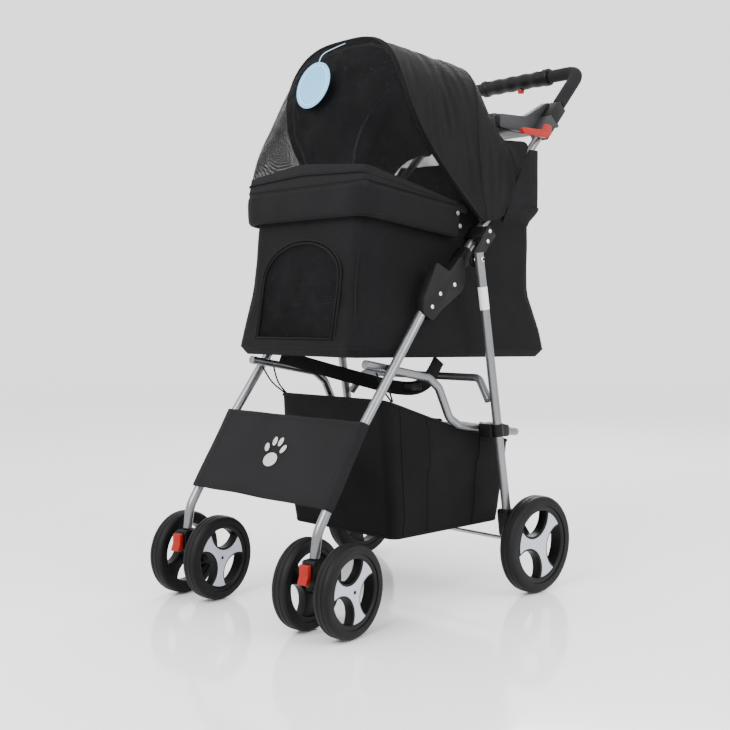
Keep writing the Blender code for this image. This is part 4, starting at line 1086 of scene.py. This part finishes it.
# height, half width, front and rear of the cabin's outline
CABIN_RINGS = (
    (0.430, 0.1440, -0.2320, 0.2500),
    (0.442, 0.1500, -0.2405, 0.2620),
    (0.470, 0.1490, -0.2355, 0.2520),
    (0.538, 0.1366, -0.2240, 0.2320),
    (0.620, 0.1366, -0.2120, 0.2300),
    (0.690, 0.1366, -0.2035, 0.2280),
)
CABIN_CORNER = 0.018
CABIN_TOP_Z = 0.690
HEM_Z = 0.442
TAPER_Z = 0.470
LOOSE = 0.0025
PIPING_PROUD = 0.0008
# the door: foot height, half width, height where its arch starts and the arch's rise
DOOR_FOOT_Z = 0.4550
DOOR_HALF = 0.100
DOOR_STEP_Z = 0.5445
DOOR_RISE = 0.0775
DOOR_CUT_Y = (-0.262, -0.190)
DOOR_MIDDLE_Z = 0.5300
DOOR_PUFF = 0.0030
POCKET_X = 0.1372
POCKET_LINE = ((-0.150, 0.600), (-0.146, 0.505), (-0.030, 0.500), (-0.026, 0.600))


def cabin_ring(z):
    for low, high in zip(CABIN_RINGS, CABIN_RINGS[1:]):
        if z <= high[0]:
            t = (z - low[0]) / (high[0] - low[0])
            return [lerp(a, b, t) for a, b in zip(low, high)]
    return list(CABIN_RINGS[-1])


def ring_points(z, half, front, rear, corner):
    """Points round a rounded rectangle at a height, from the middle of the front."""
    corners = ((half, front), (half, rear), (-half, rear), (-half, front))
    counts = (26, 60, 52, 60, 26)
    line = [(0.0, front), *corners, (0.0, front)]
    points = []
    for i, count in enumerate(counts):
        ax, ay = line[i]
        bx, by = line[i + 1]
        for k in range(count):
            points.append([lerp(ax, bx, k / count), lerp(ay, by, k / count)])
    for p in points:
        dx = abs(p[0]) - (half - corner)
        middle = (front + rear) / 2
        dy = abs(p[1] - middle) - ((rear - front) / 2 - corner)
        if dx > 0 and dy > 0:
            far = math.hypot(dx, dy)
            grow = max(dx, dy)
            p[0] = math.copysign(half - corner + dx / far * grow, p[0])
            p[1] = middle + math.copysign((rear - front) / 2 - corner + dy / far * grow, p[1] - middle)
    return [Vector((x, y, z)) for x, y in points]


def base_drop(p):
    """How much lower the cabin's foot is at a point than at its front."""
    return CABIN_DROP * min(max((p.y + 0.24) / 0.50, 0.0), 1.0) * ease((TAPER_Z - p.z) / (TAPER_Z - HEM_Z))


def cabin_wall_rows():
    rows = []
    for scale in (0.004, 0.35, 0.7, 0.93):
        z, half, front, rear = CABIN_RINGS[0]
        middle = (front + rear) / 2
        ring = ring_points(z, half * scale, middle + (front - middle) * scale,
                           middle + (rear - middle) * scale,
                           CABIN_CORNER * scale)
        rows.append(ring)
    heights = [0.430, 0.433, 0.4370, HEM_Z] + [HEM_Z + (CABIN_TOP_Z - HEM_Z) * i / 36 for i in range(1, 37)]
    for z in heights:
        _, half, front, rear = cabin_ring(z)
        ring = ring_points(z, half, front, rear, CABIN_CORNER)
        share = min(max((z - 0.445) / 0.18, 0.0), 1.0)
        for p in ring:
            middle = Vector((0, (front + rear) / 2, z))
            inward = middle - p
            inward.z = 0
            inward.normalize()
            loose = math.sin(math.pi * share)
            p += inward * (LOOSE * loose + abs(crease(p, 16.0, 0.0042, 2.0)) * loose)
        rows.append(ring)
    for ring in rows:
        for p in ring:
            p.z -= base_drop(p)
    return rows


def arch_outline(z_low, half, step_up, rise, steps=22):
    """The door's arch as X and Z points, from the left foot over to the right."""
    points = [(half, z_low)]
    for i in range(steps + 1):
        a = math.pi * i / steps
        points.append((half * math.cos(a), step_up + rise * abs(math.sin(a)) ** 0.8))
    points.append((-half, z_low))
    return points


def front_wall_y(z):
    return cabin_ring(z)[2]


cabin = shell("cabin_cloth", cabin_wall_rows(), CLOTH, 0.003, 1.0, closed=True, levels=0)
outward(cabin)
door_arch = arch_outline(DOOR_FOOT_Z, DOOR_HALF, DOOR_STEP_Z, DOOR_RISE)
near, far = ([(x, y, z) for x, z in door_arch] for y in DOOR_CUT_Y)
door_cut = slab("door_cut", near, far, CLOTH)
change = cabin.modifiers.new("door", "BOOLEAN")
change.object = door_cut
change.operation = "DIFFERENCE"
change.solver = "EXACT"
cabin = applied(cabin)
bpy.data.objects.remove(door_cut)
smooth(cabin.data, 50)
folding(cabin, "cabin")

door_line = [Vector((x * 1.02, front_wall_y(z) - 0.0012, z + (0.0015 if z > 0.5 else 0.0))) for x,
             z in door_arch]
folding(seam("door_arch_piping", door_line, 0.0022), slot=None)
base_ring = ring_points(0.4415, 0.1508, -0.2415, 0.263, CABIN_CORNER)
for p in base_ring:
    p.z -= base_drop(p)
folding(seam("cabin_base_piping", base_ring, 0.0020, closed=True), slot=None)
for side_name, side in SIDES:
    for end in ("front", "rear"):
        line = []
        for i in range(15):
            z = lerp(0.446, 0.684, i / 14)
            ring = cabin_ring(z)
            y = ring[2] + 0.0062 if end == "front" else ring[3] - 0.0062
            proud = -PIPING_PROUD if end == "front" else PIPING_PROUD
            spot = Vector((side * (ring[1] - 0.0062 + PIPING_PROUD), y + proud, z))
            spot.z -= base_drop(spot)
            line.append(spot)
        folding(seam(f"cabin_corner_{end}_{side_name}", line, 0.0017), slot=None)
    hem_x = side * (cabin_ring(TAPER_Z)[1] + 0.0004)
    stitch_line = [Vector((hem_x, lerp(-0.205, 0.225, i / 20), 0.468)) for i in range(21)]
    folding(stitches(f"cabin_hem_stitches_{side_name}", stitch_line), slot=None)
    pocket = [Vector((side * POCKET_X, y, z)) for y, z in POCKET_LINE]
    folding(stitches(f"pocket_stitches_{side_name}", rounded_path(pocket, 0.012)), slot=None)

# the door is a net inside a cloth border
door_outline = arch_outline(0.4562, 0.0985, 0.5440, 0.0765, 40)
door_outline += [(lerp(-0.0985, 0.0985, i / 24), 0.4562) for i in range(1, 24)]
door_rows = []
for level in range(13):
    share = 1 - 0.996 * level / 12
    row = []
    for x, z in door_outline:
        spot_x = x * share
        spot_z = lerp(DOOR_MIDDLE_Z, z, share)
        puff = DOOR_PUFF * (1 - share**4)
        wander = crease(Vector((spot_x, 0.0, spot_z)), 30, 0.0012)
        row.append(Vector((spot_x, front_wall_y(spot_z) + 0.0006 - puff + wander, spot_z)))
    door_rows.append(row)
door = shell("door_panel", door_rows, NET, 0.0010, 0.0, closed=True, levels=0)
finished(door, "door", "front_door", slot="oxford_cloth")
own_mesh(door)
border_arch = arch_outline(0.4572, 0.0965, 0.5435, 0.0745, 40)
border = [Vector((x, front_wall_y(z) - 0.0018, z)) for x, z in border_arch]
obj = seam("door_border", border, 0.0021, closed=True)
finished(obj, "door")
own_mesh(obj)

# ---------------------------------------------------------------- front band and mat


BAND_REAR = Vector((0.152, 0.008, 0.656))
BAND_FRONT = Vector((0.152, -0.219, 0.682))
BAND_BEND = 0.030
BAND_PUFF = 0.0078
BAND_HALF = 0.0262
BAND_STITCH_IN = -0.0072
BAND_STITCH_UP = 0.0205


def band_path():
    """The band's middle line, from its left end round the front to its right end."""
    half = [BAND_REAR, BAND_FRONT]
    return resampled(rounded_path(half + flip(reversed(half), -1), BAND_BEND, 12), 0.0052)


def band_mesh():
    path = band_path()
    count = len(path)
    rows = []
    for i, point in enumerate(path):
        ahead = (path[min(i + 1, count - 1)] - path[max(i - 1, 0)]).normalized()
        out = ahead.cross(Vector((0, 0, 1))).normalized()
        up = out.cross(ahead).normalized()
        share = i / (count - 1)
        end = ease(min(share, 1 - share) / 0.018)
        ring = []
        for k in range(32):
            a = math.tau * k / 32
            wide = math.copysign(abs(math.cos(a)) ** 0.75, math.cos(a))
            tall = math.copysign(abs(math.sin(a)) ** 0.55, math.sin(a))
            puff = (BAND_PUFF + crease(point + up * tall * 0.02, 22.0, 0.0016)) * (0.35 + 0.65 * end)
            height = BAND_HALF * (0.90 + 0.10 * end)
            ring.append(point + out * wide * puff + up * tall * height)
        rows.append(ring)
    return rows


rows = band_mesh()
middle_start = sum(rows[0], Vector()) / len(rows[0])
middle_end = sum(rows[-1], Vector()) / len(rows[-1])
rows.insert(0, [middle_start.lerp(p, 0.06) for p in rows[0]])
rows.append([middle_end.lerp(p, 0.06) for p in rows[-1]])
band = sheet_mesh("padded_band", rows, HOOD_CLOTH, closed=True)
bm = bmesh.new()
bm.from_mesh(band.data)
bmesh.ops.holes_fill(bm, edges=[e for e in bm.edges if e.is_boundary], sides=0)
bmesh.ops.recalc_face_normals(bm, faces=bm.faces)
bm.to_mesh(band.data)
bm.free()
band = applied(with_modifiers(band, levels=1))
smooth(band.data, 60)
folding(band, "front_band")
upper_line = []
lower_line = []
path = band_path()
for i, point in enumerate(path):
    ahead = (path[min(i + 1, len(path) - 1)] - path[max(i - 1, 0)]).normalized()
    out = ahead.cross(Vector((0, 0, 1))).normalized()
    upper_line.append(point + out * BAND_STITCH_IN + Vector((0, 0, BAND_STITCH_UP)))
    lower_line.append(point + out * BAND_STITCH_IN - Vector((0, 0, BAND_STITCH_UP)))
for name, line in (("upper", upper_line), ("lower", lower_line)):
    folding(stitches(f"band_stitches_{name}", line), slot=None)

MAT_HALF = 0.1295
MAT_FRONT = -0.2115
MAT_REAR = 0.2275
MAT_Z = 0.4450
MAT_MIDDLE = (MAT_FRONT + MAT_REAR) / 2
MAT_REACH = (MAT_REAR - MAT_FRONT) / 2


def mat_height(u, v):
    edge = max(1 - abs(u) ** 7, 0.0) ** 0.5 * max(1 - abs(v) ** 9, 0.0) ** 0.5
    quilt = 0.0016 * abs(math.sin(math.pi * (u * 1.5 + 0.5))) * abs(math.sin(math.pi * v * 2.5))
    return edge * (0.0070 + quilt)


def spaced(i, count):
    """Values from -1 to 1, closer together near the ends."""
    return math.sin(math.pi * (i / count - 0.5))


top_rows = []
for i in range(41):
    v = spaced(i, 40)
    row = []
    for j in range(33):
        u = spaced(j, 32)
        point = Vector((u * MAT_HALF, MAT_MIDDLE + v * MAT_REACH, MAT_Z + mat_height(u, v)))
        row.append(point)
    top_rows.append(row)
mat = sheet_mesh("cabin_pad", top_rows, HOOD_CLOTH)
bm = bmesh.new()
bm.from_mesh(mat.data)
made = bmesh.ops.duplicate(bm, geom=bm.faces[:] + bm.edges[:] + bm.verts[:])
for v in [g for g in made["geom"] if isinstance(g, bmesh.types.BMVert)]:
    v.co.z = MAT_Z - (v.co.z - MAT_Z) * 0.98
bmesh.ops.remove_doubles(bm, verts=bm.verts, dist=1e-5)
bmesh.ops.recalc_face_normals(bm, faces=bm.faces)
bm.to_mesh(mat.data)
bm.free()
smooth(mat.data, 60)
folding(mat, "cabin_mat")
mat_edge = [p for p in top_rows[0]] + [r[-1] for r in top_rows[1:]] + [p for p in reversed(top_rows[-1][:-1])]
mat_edge += [r[0] for r in reversed(top_rows[1:-1])]
folding(seam("mat_piping", mat_edge, 0.0016, closed=True), slot=None)

# ---------------------------------------------------------------- canopy

CANOPY_X = 0.168
# the arches from front to rear: foot Y and Z, top Y and Z, the sides' bow and the shoulders' power
CANOPY_SECTIONS = (
    (0.052, 0.664, -0.118, 0.972, -0.070, 0.625),
    (0.058, 0.664, -0.010, 0.969, -0.050, 0.625),
    (0.066, 0.664, 0.092, 0.955, -0.030, 0.625),
    (0.088, 0.668, 0.104, 0.905, 0.010, 0.54),
    (0.100, 0.671, 0.112, 0.862, 0.030, 0.44),
    (0.107, 0.674, 0.119, 0.832, 0.032, 0.36),
    (0.112, 0.676, 0.205, 0.822, -0.012, 0.24),
)


HOOD_HUB = Vector((0.0, 0.06, 0.74))
HOOD_ROWS = 90
HOOD_COLUMNS = 108


def arch_point(section, t, half):
    """A point on a canopy arch, t from 0 at the left foot to 1 at the right."""
    foot_y, foot_z, top_y, top_z, bow, power = section
    angle = math.pi * t
    x = half * math.copysign(abs(math.cos(angle)) ** power, math.cos(angle))
    h = abs(math.sin(angle)) ** power
    y = foot_y + (top_y - foot_y) * h + bow * math.sin(math.pi * h)
    z = foot_z + (top_z - foot_z) * h
    return Vector((x, y, z))


def arch_share(i, count):
    """An even walk over the arch: its corners get as many points as its top."""
    t = i / count
    return t + 0.055 * math.sin(4 * math.pi * t) / math.pi


def smooth_section(u):
    """The arch between two given ones, on a smooth line through them all."""
    i = min(int(u), len(CANOPY_SECTIONS) - 2)
    t = u - i
    spots = [CANOPY_SECTIONS[min(max(k, 0), len(CANOPY_SECTIONS) - 1)] for k in (i - 1, i, i + 1, i + 2)]
    return [
        0.5 * (2 * b + (c - a) * t + (2 * a - 5 * b + 4 * c - d) * t * t + (3 * b - a - 3 * c + d) * t**3)
        for a, b, c, d in zip(*spots)
    ]


RIBS = (0.0, 2.0, 5.0, 6.0)


def from_hub(p):
    """The way out of the hood at a point."""
    return (p - HOOD_HUB).normalized()


def canopy_point(u, t):
    """A point on the hood's cloth, hollowed between its ribs."""
    p = arch_point(smooth_section(u), t, CANOPY_X)
    low = max(r for r in RIBS if r <= u + 1e-6)
    high = min(r for r in RIBS if r >= u - 1e-6)
    share = 0.0 if high == low else (u - low) / (high - low)
    loose = math.sin(math.pi * share) * math.sin(math.pi * min(max(t, 0), 1)) ** 0.5
    inward = -from_hub(p)
    depth = 0.0045 * loose
    folds = abs(crease(Vector((p.x * 0.4, p.y * 2.2, p.z * 0.6)), 17.0, 0.0070, 4.0)) * (0.15 + loose)
    return p + inward * (depth + folds)


canopy_rows = []
for i in range(HOOD_ROWS + 1):
    u = RIBS[-1] * i / HOOD_ROWS
    canopy_rows.append([canopy_point(u, arch_share(k, HOOD_COLUMNS)) for k in range(HOOD_COLUMNS + 1)])
canopy = shell("canopy_cloth", canopy_rows, HOOD_CLOTH, 0.0018, -1.0, levels=0)
outward(canopy)


def hood(obj, *nodes):
    """Cloth that runs from the handle frame to the front hoop."""
    if nodes:
        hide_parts(*nodes)
    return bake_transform(obj)


hood(canopy, "canopy")
for index, width in ((0.0, 0.0024), (2.0, 0.0020), (5.0, 0.0017), (6.0, 0.0017)):
    line = []
    for k in range(HOOD_COLUMNS + 1):
        p = arch_point(smooth_section(index), arch_share(k, HOOD_COLUMNS), CANOPY_X)
        line.append(p + from_hub(p) * 0.0006)
    hood(seam(f"hood_piping_{int(index)}", line, width))
for side_name, t_edge in (("left", 0.0), ("right", 1.0)):
    feet = [arch_point(smooth_section(RIBS[-1] * i / 60), t_edge, CANOPY_X + 0.0004) for i in range(61)]
    line = [foot + Vector((0, 0, -0.0004)) for foot in feet]
    hood(seam(f"hood_foot_{side_name}", line, 0.0018))
    edge = []
    for i in range(31):
        share = i / 30
        u = lerp(2.1, 4.9, share)
        t = lerp(0.035, 0.20, share)
        t = t if side_name == "left" else 1 - t
        p = canopy_point(u, t)
        edge.append(p + from_hub(p) * 0.0004)
    hood(stitches(f"hood_stitches_{side_name}", edge))
for u in (0.09, 1.90, 2.10, 5.85):
    line = []
    for k in range(2, HOOD_COLUMNS - 1):
        p = canopy_point(u, arch_share(k, HOOD_COLUMNS))
        line.append(p + from_hub(p) * 0.0003)
    hood(stitches(f"hood_rib_stitches_{int(u * 100)}", line, thickness=0.0007))

# ---------------------------------------------------------------- front window

# the foot's half width, front and rear, and its heights at the rear and the front
WINDOW_FOOT = (0.1515, -0.2150, 0.032)
WINDOW_FOOT_Z = (0.6850, 0.7135)
WINDOW_BULGE = 0.030
WINDOW_ROWS = 28
WINDOW_COLUMNS = 96
WINDOW_INSET = 0.0045
TAPE_ROWS = ((24, 0.0), (25, 0.0), (26, 0.0), (27, 0.0), (28, 0.0), (28, -0.006), (28, -0.012))
ZIP_ROW = 26


def band_edge_point(t):
    """A point over the front band, t from 0 at the left end to 1 at the right."""
    swing = 2 * t - 1
    t = 0.5 + 0.5 * math.copysign(swing * swing, swing)
    x, front, rear = WINDOW_FOOT
    side_run = rear - front
    run = side_run * 2 + 2 * x
    along = t * run
    if along < side_run:
        spot = (x, rear - along)
    elif along < side_run + 2 * x:
        spot = (x - (along - side_run), front)
    else:
        spot = (-x, front + (along - side_run - 2 * x))
    share = (rear - spot[1]) / side_run
    return Vector((*spot, lerp(*WINDOW_FOOT_Z, share)))


def over_window(obj):
    """Cloth that runs from the band to the front hoop."""
    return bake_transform(obj)


window_section = [a + b for a, b in zip(CANOPY_SECTIONS[0], (-0.004, 0.004, -0.004, 0.0, 0.0, 0.0))]
window_rows = []
for i in range(WINDOW_ROWS + 1):
    level = i / WINDOW_ROWS
    row = []
    for k in range(WINDOW_COLUMNS + 1):
        t = k / WINDOW_COLUMNS
        p = arch_point(window_section, t, CANOPY_X - WINDOW_INSET).lerp(band_edge_point(t), level)
        p.y -= WINDOW_BULGE * math.sin(math.pi * level) * math.sin(math.pi * t)
        p.y += crease(p, 12.0, 0.004, 9.0) * math.sin(math.pi * level)
        row.append(p)
    window_rows.append(row)
window = sheet_mesh("hood_window", window_rows, NET)
with_modifiers(window, wall=0.0006, offset=0.0)
window = applied(window)
smooth(window.data, 60)
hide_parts("front_window")
over_window(window)
for name, row in (("upper", window_rows[0]), ("lower", window_rows[-1])):
    over_window(seam(f"window_binding_{name}", row, 0.0026))
tape_rows = [[p + Vector((0.0, -0.0012, drop)) for p in window_rows[level]] for level, drop in TAPE_ROWS]
tape = sheet_mesh("window_zip_tape", tape_rows, PANEL_CLOTH)
tape = applied(with_modifiers(tape, wall=0.0016, offset=0.0))
smooth(tape.data, 60)
over_window(tape)
zip_row = [p + Vector((0, -0.0030, 0)) for p in window_rows[ZIP_ROW]]
over_window(stitches("window_zip", zip_row, BLACK_PLASTIC, pitch=0.0032, length=0.0022, thickness=0.0042))

# ---------------------------------------------------------------- rear panel, footrest, strap

# half width, rear, start and height of the skirt, each at its top and its foot
SKIRT = ((0.1640, 0.1376), (0.2275, 0.2288), (0.126, 0.150), (0.6960, 0.6640))
STRAP_LINE = ((-0.080, -0.200, 0.4235), (0.020, -0.145, 0.394), (0.100, -0.085, 0.371),
              (0.122, -0.045, 0.378), (0.124, -0.010, 0.4175))
STRAP_WIDTH = 0.024
FOOTREST_START = 0.036
FOOTREST_OUT = 0.0036
# X, share of the height and lean of each toe of the paw
TOES = ((-0.021, 0.58, 0.5), (-0.0075, 0.66, 0.15), (0.0075, 0.66, -0.15), (0.021, 0.58, -0.5))


def skirt_rows():
    """The short cloth that joins the rear panel's lower edge to the cabin's top."""
    rows = []
    for i in range(9):
        t = i / 8
        half = lerp(*SKIRT[0], ease(t))
        rear, start, z = (lerp(*pair, t) for pair in SKIRT[1:])
        line = [Vector((half, start, z)), Vector((half, rear, z)), Vector((-half, rear, z)),
                Vector((-half, start, z))]
        rows.append(resampled(rounded_path(line, 0.014, 8), 0.006)[:88])
    shortest = min(len(row) for row in rows)
    evened = []
    for row in rows:
        last = len(row) - 1
        evened.append([row[min(int(k * last / (shortest - 1) + 0.5), last)] for k in range(shortest)])
    return evened


rear_panel = cloth_copy("rear_hood_panel", HOOD_CLOTH, 0.012, 0.0022, 18.0)
folding(rear_panel, "rear_hood_panel")
skirt = shell("rear_skirt", skirt_rows(), HOOD_CLOTH, 0.0016, -1.0, levels=0)
folding(skirt)
footrest = cloth_copy("footrest_panel", PANEL_CLOTH, 0.009, 0.0016, 14.0)
finished(footrest, "front_frame", "footrest_panel", slot="oxford_cloth")


def footrest_point(x, share):
    """A point on the footrest's front, from its lower edge to its upper."""
    low, high = (Vector((0, *spot)) for spot in FRONT_LEG_LINE[1:3])
    way = (high - low).normalized()
    out = Vector((0, -way.z, way.y))
    start = low + way * FOOTREST_START
    return start.lerp(high, share) + out * (TUBE_R + FOOTREST_OUT) + Vector((x, 0, 0))


for name, share in (("low", 0.05), ("high", 0.95)):
    line = [footrest_point(lerp(-0.172, 0.172, i / 40), share) for i in range(41)]
    finished(stitches(f"footrest_stitches_{name}", line), "front_frame")
for name, x in (("left", 0.160), ("right", -0.160)):
    line = [footrest_point(x, lerp(0.06, 0.94, i / 24)) for i in range(25)]
    finished(stitches(f"footrest_stitches_{name}", line), "front_frame")


def pad_print(name, centre_x, share, wide, tall, lean=0.0):
    """One flat oval of the printed paw."""
    centre = footrest_point(centre_x, share)
    way = (footrest_point(0, 1.0) - footrest_point(0, 0.0)).normalized()
    across = Vector((1, 0, 0))
    out = across.cross(way).normalized()
    out = out if out.y < 0 else -out
    bm = bmesh.new()
    ring = []
    for k in range(36):
        a = math.tau * k / 36
        u = wide * math.cos(a)
        v = tall * math.sin(a)
        turned_u = u * math.cos(lean) - v * math.sin(lean)
        turned_v = u * math.sin(lean) + v * math.cos(lean)
        ring.append(bm.verts.new(centre + across * turned_u + way * turned_v + out * 0.0006))
    face = bm.faces.new(ring)
    bm.normal_update()
    if face.normal.dot(out) < 0:
        face.normal_flip()
    mesh = mesh_from(bm, name)
    made = with_modifiers(mesh_object(name, mesh, PRINT), wall=0.0005, offset=1.0)
    made = applied(made)
    finished(made, "front_frame")


pad_print("paw_heel", 0.0, 0.44, 0.0165, 0.0125)
for i, (x, share, lean) in enumerate(TOES):
    pad_print(f"paw_toe_{i + 1}", x, share, 0.0052, 0.0082, lean)


strap_line = spline([Vector(p) for p in STRAP_LINE])
strap = ribbon("under_strap", strap_line, Vector((-0.1, 0.25, 1.0)), STRAP_WIDTH, WEBBING)
folding(strap, "safety_strap")
buckle = block("strap_buckle", (0.104, -0.082, 0.366), (0.128, -0.056, 0.380), BLACK_PLASTIC, 0.003)
folding(buckle, slot=None)

# ---------------------------------------------------------------- basket

# half width, front and rear of the basket at its floor and its rim
BASKET_FLOOR = (0.130, -0.128, 0.149)
BASKET_RIM = (0.1375, -0.155, 0.173)
BASKET_FLOOR_Z = 0.1165
BASKET_RIM_Z = 0.300
RIM_FRONT_UP = 0.052
RIM_REAR_DOWN = 0.039
RIM_LEVEL_Y = 0.006
NET_X = 0.118
# front, rear, lowest and highest share of each net in a side
NETS = ((-0.120, -0.055, 0.14, 1.05), (0.085, 0.135, 0.14, 0.70))
# each tie's upper and lower end in Y and Z
TIES = (((-0.187, 0.402), (-0.142, 0.352)), ((-0.165, 0.413), (-0.139, 0.352)))
TAB_LINE = ((0.1735, 0.262), (0.1800, 0.2685), (0.1800, 0.2840), (0.1890, 0.2895), (0.1985, 0.2820),
            (0.1960, 0.2680), (0.1780, 0.255))


def basket_ring(level):
    """Points round the basket from its rim, level 0, to its floor's edge, level 1."""
    ring = []
    low = ring_points(BASKET_FLOOR_Z, *BASKET_FLOOR, 0.016)
    high = ring_points(BASKET_RIM_Z, *BASKET_RIM, 0.018)
    for foot, rim in zip(low, high):
        front_share = min(max((RIM_LEVEL_Y - rim.y) / (RIM_LEVEL_Y - BASKET_RIM[1]), 0.0), 1.0)
        rear_share = min(max((rim.y - RIM_LEVEL_Y) / (BASKET_RIM[2] - RIM_LEVEL_Y), 0.0), 1.0)
        rim.z = BASKET_RIM_Z + RIM_FRONT_UP * front_share - RIM_REAR_DOWN * rear_share
        p = rim.lerp(foot, level)
        middle = Vector((0, 0.01, p.z))
        out = p - middle
        out.z = 0
        out.normalize()
        slack = math.sin(math.pi * level)
        p += out * (0.003 * slack + crease(p, 15.0, 0.0040, 6.0) * slack)
        p.z += crease(p, 11.0, 0.0030, 8.0) * slack
        ring.append(p)
    return ring


basket_rows = [basket_ring(i / 28) for i in range(29)]
for scale in (0.97, 0.8, 0.55, 0.3, 0.1, 0.006):
    ring = []
    for p in basket_ring(1.0):
        q = Vector((p.x * scale, 0.0085 + (p.y - 0.0085) * scale, p.z - 0.0030 * (1 - scale)))
        ring.append(q)
    basket_rows.append(ring)
basket = sheet_mesh("basket_cloth", basket_rows, CLOTH, closed=True)
basket.data.materials.append(WIDE_NET)
for face in basket.data.polygons:
    spot = face.center
    height = (spot.z - BASKET_FLOOR_Z) / (BASKET_RIM_Z - BASKET_FLOOR_Z)
    for front, rear, lowest, highest in NETS:
        if abs(spot.x) > NET_X and front < spot.y < rear and lowest < height < highest:
            face.material_index = 1
mesh_finish = list(basket.data.materials)
name = basket.name
with_modifiers(basket, wall=0.0016, offset=0.0)
mesh = evaluated_mesh(basket)
bpy.data.objects.remove(basket)
basket = bpy.data.objects.new(name, mesh)
bpy.context.scene.collection.objects.link(basket)
mesh.materials.clear()
for item in mesh_finish:
    mesh.materials.append(item)
smooth(mesh, 60)


def basket_piece(obj, *nodes):
    finished(obj, "rail_frame", *nodes, slot="oxford_cloth" if nodes else None)
    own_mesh(obj)
    return obj


basket_piece(basket, "basket")
for name, level, up, radius in (("rim", 0.0, 0.0006, 0.0028), ("floor", 0.985, -0.0002, 0.0017)):
    line = [p + Vector((0, 0, up)) for p in basket_ring(level)]
    basket_piece(seam(f"basket_{name}_binding", line, radius, closed=True))
for side_name, side in SIDES:
    for place_name, y in (("front", -0.121), ("middle", -0.054), ("rear", 0.084)):
        line = []
        for i in range(25):
            want = lerp(y, y * 0.86, i / 24)
            near = min((p for p in basket_ring(i / 24) if p.x * side > 0.1), key=lambda p: abs(p.y - want))
            line.append(near + Vector((side * 0.0009, 0, 0)))
        basket_piece(seam(f"basket_seam_{place_name}_{side_name}", line, 0.0014))
    for index, (start, end) in enumerate(TIES):
        tie = [Vector((side * 0.147, *start)), Vector((side * 0.1440, start[0] * 0.6 + end[0] * 0.4, 0.375)),
               Vector((side * 0.1370, *end))]
        obj = tube(f"basket_tie_{side_name}_{index + 1}", spline(tie, 8), 0.0015, BINDING, resolution=4)
        finished(obj, "rail_frame")
for side_name, x in (("left", 0.075), ("right", -0.075)):
    line = [p + Vector((x, 0, 0)) for p in spline([Vector((0, *spot)) for spot in TAB_LINE], 6)]
    obj = ribbon(f"basket_rail_tab_{side_name}", line, Vector((1, 0, 0)), 0.045, BINDING)
    finished(obj, "rail_frame")

# ---------------------------------------------------------------- tag and snaps

TAG_CENTRE = (0.010, -0.2020, 0.884)
TAG_RING_R = 0.0345
TAG_HOLE_UP = 0.0375
STRING_ENDS = ((0.013, -0.180, 0.940), (0.012, -0.1300, 0.9660))
SNAP_X = 0.1618
SNAPS = ((-0.004, 0.672), (0.002, 0.650))

polished("hang_tag", "front_hoop", CARD, 0.0003, "card")
tilt = Matrix.Rotation(math.radians(-14), 4, "X") @ Matrix.Rotation(math.radians(6), 4, "Y")
tag_place = Matrix.Translation(TAG_CENTRE) @ tilt
rim_line = [tag_place @ Vector((TAG_RING_R * math.cos(a), -0.0006, TAG_RING_R * math.sin(a)))
            for a in (math.tau * k / 60 for k in range(60))]
finished(tube("tag_ring", rim_line, 0.0007, CARD_RING, closed=True, resolution=3), "front_hoop")
string = [tag_place @ Vector((0.0, 0.0, TAG_HOLE_UP)), *(Vector(p) for p in STRING_ENDS)]
finished(tube("tag_string", spline(string, 8), 0.0006, CARD_RING, resolution=3), "front_hoop")
for side_name, side in SIDES:
    out = Vector((side, 0, 0))
    snaps = [(Vector((side * SNAP_X, y, z)), out) for y, z in SNAPS]
    obj = heads(f"band_snaps_{side_name}", snaps, "handle_frame", 0.0042, 0.0014, DARK_STEEL)
    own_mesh(obj)
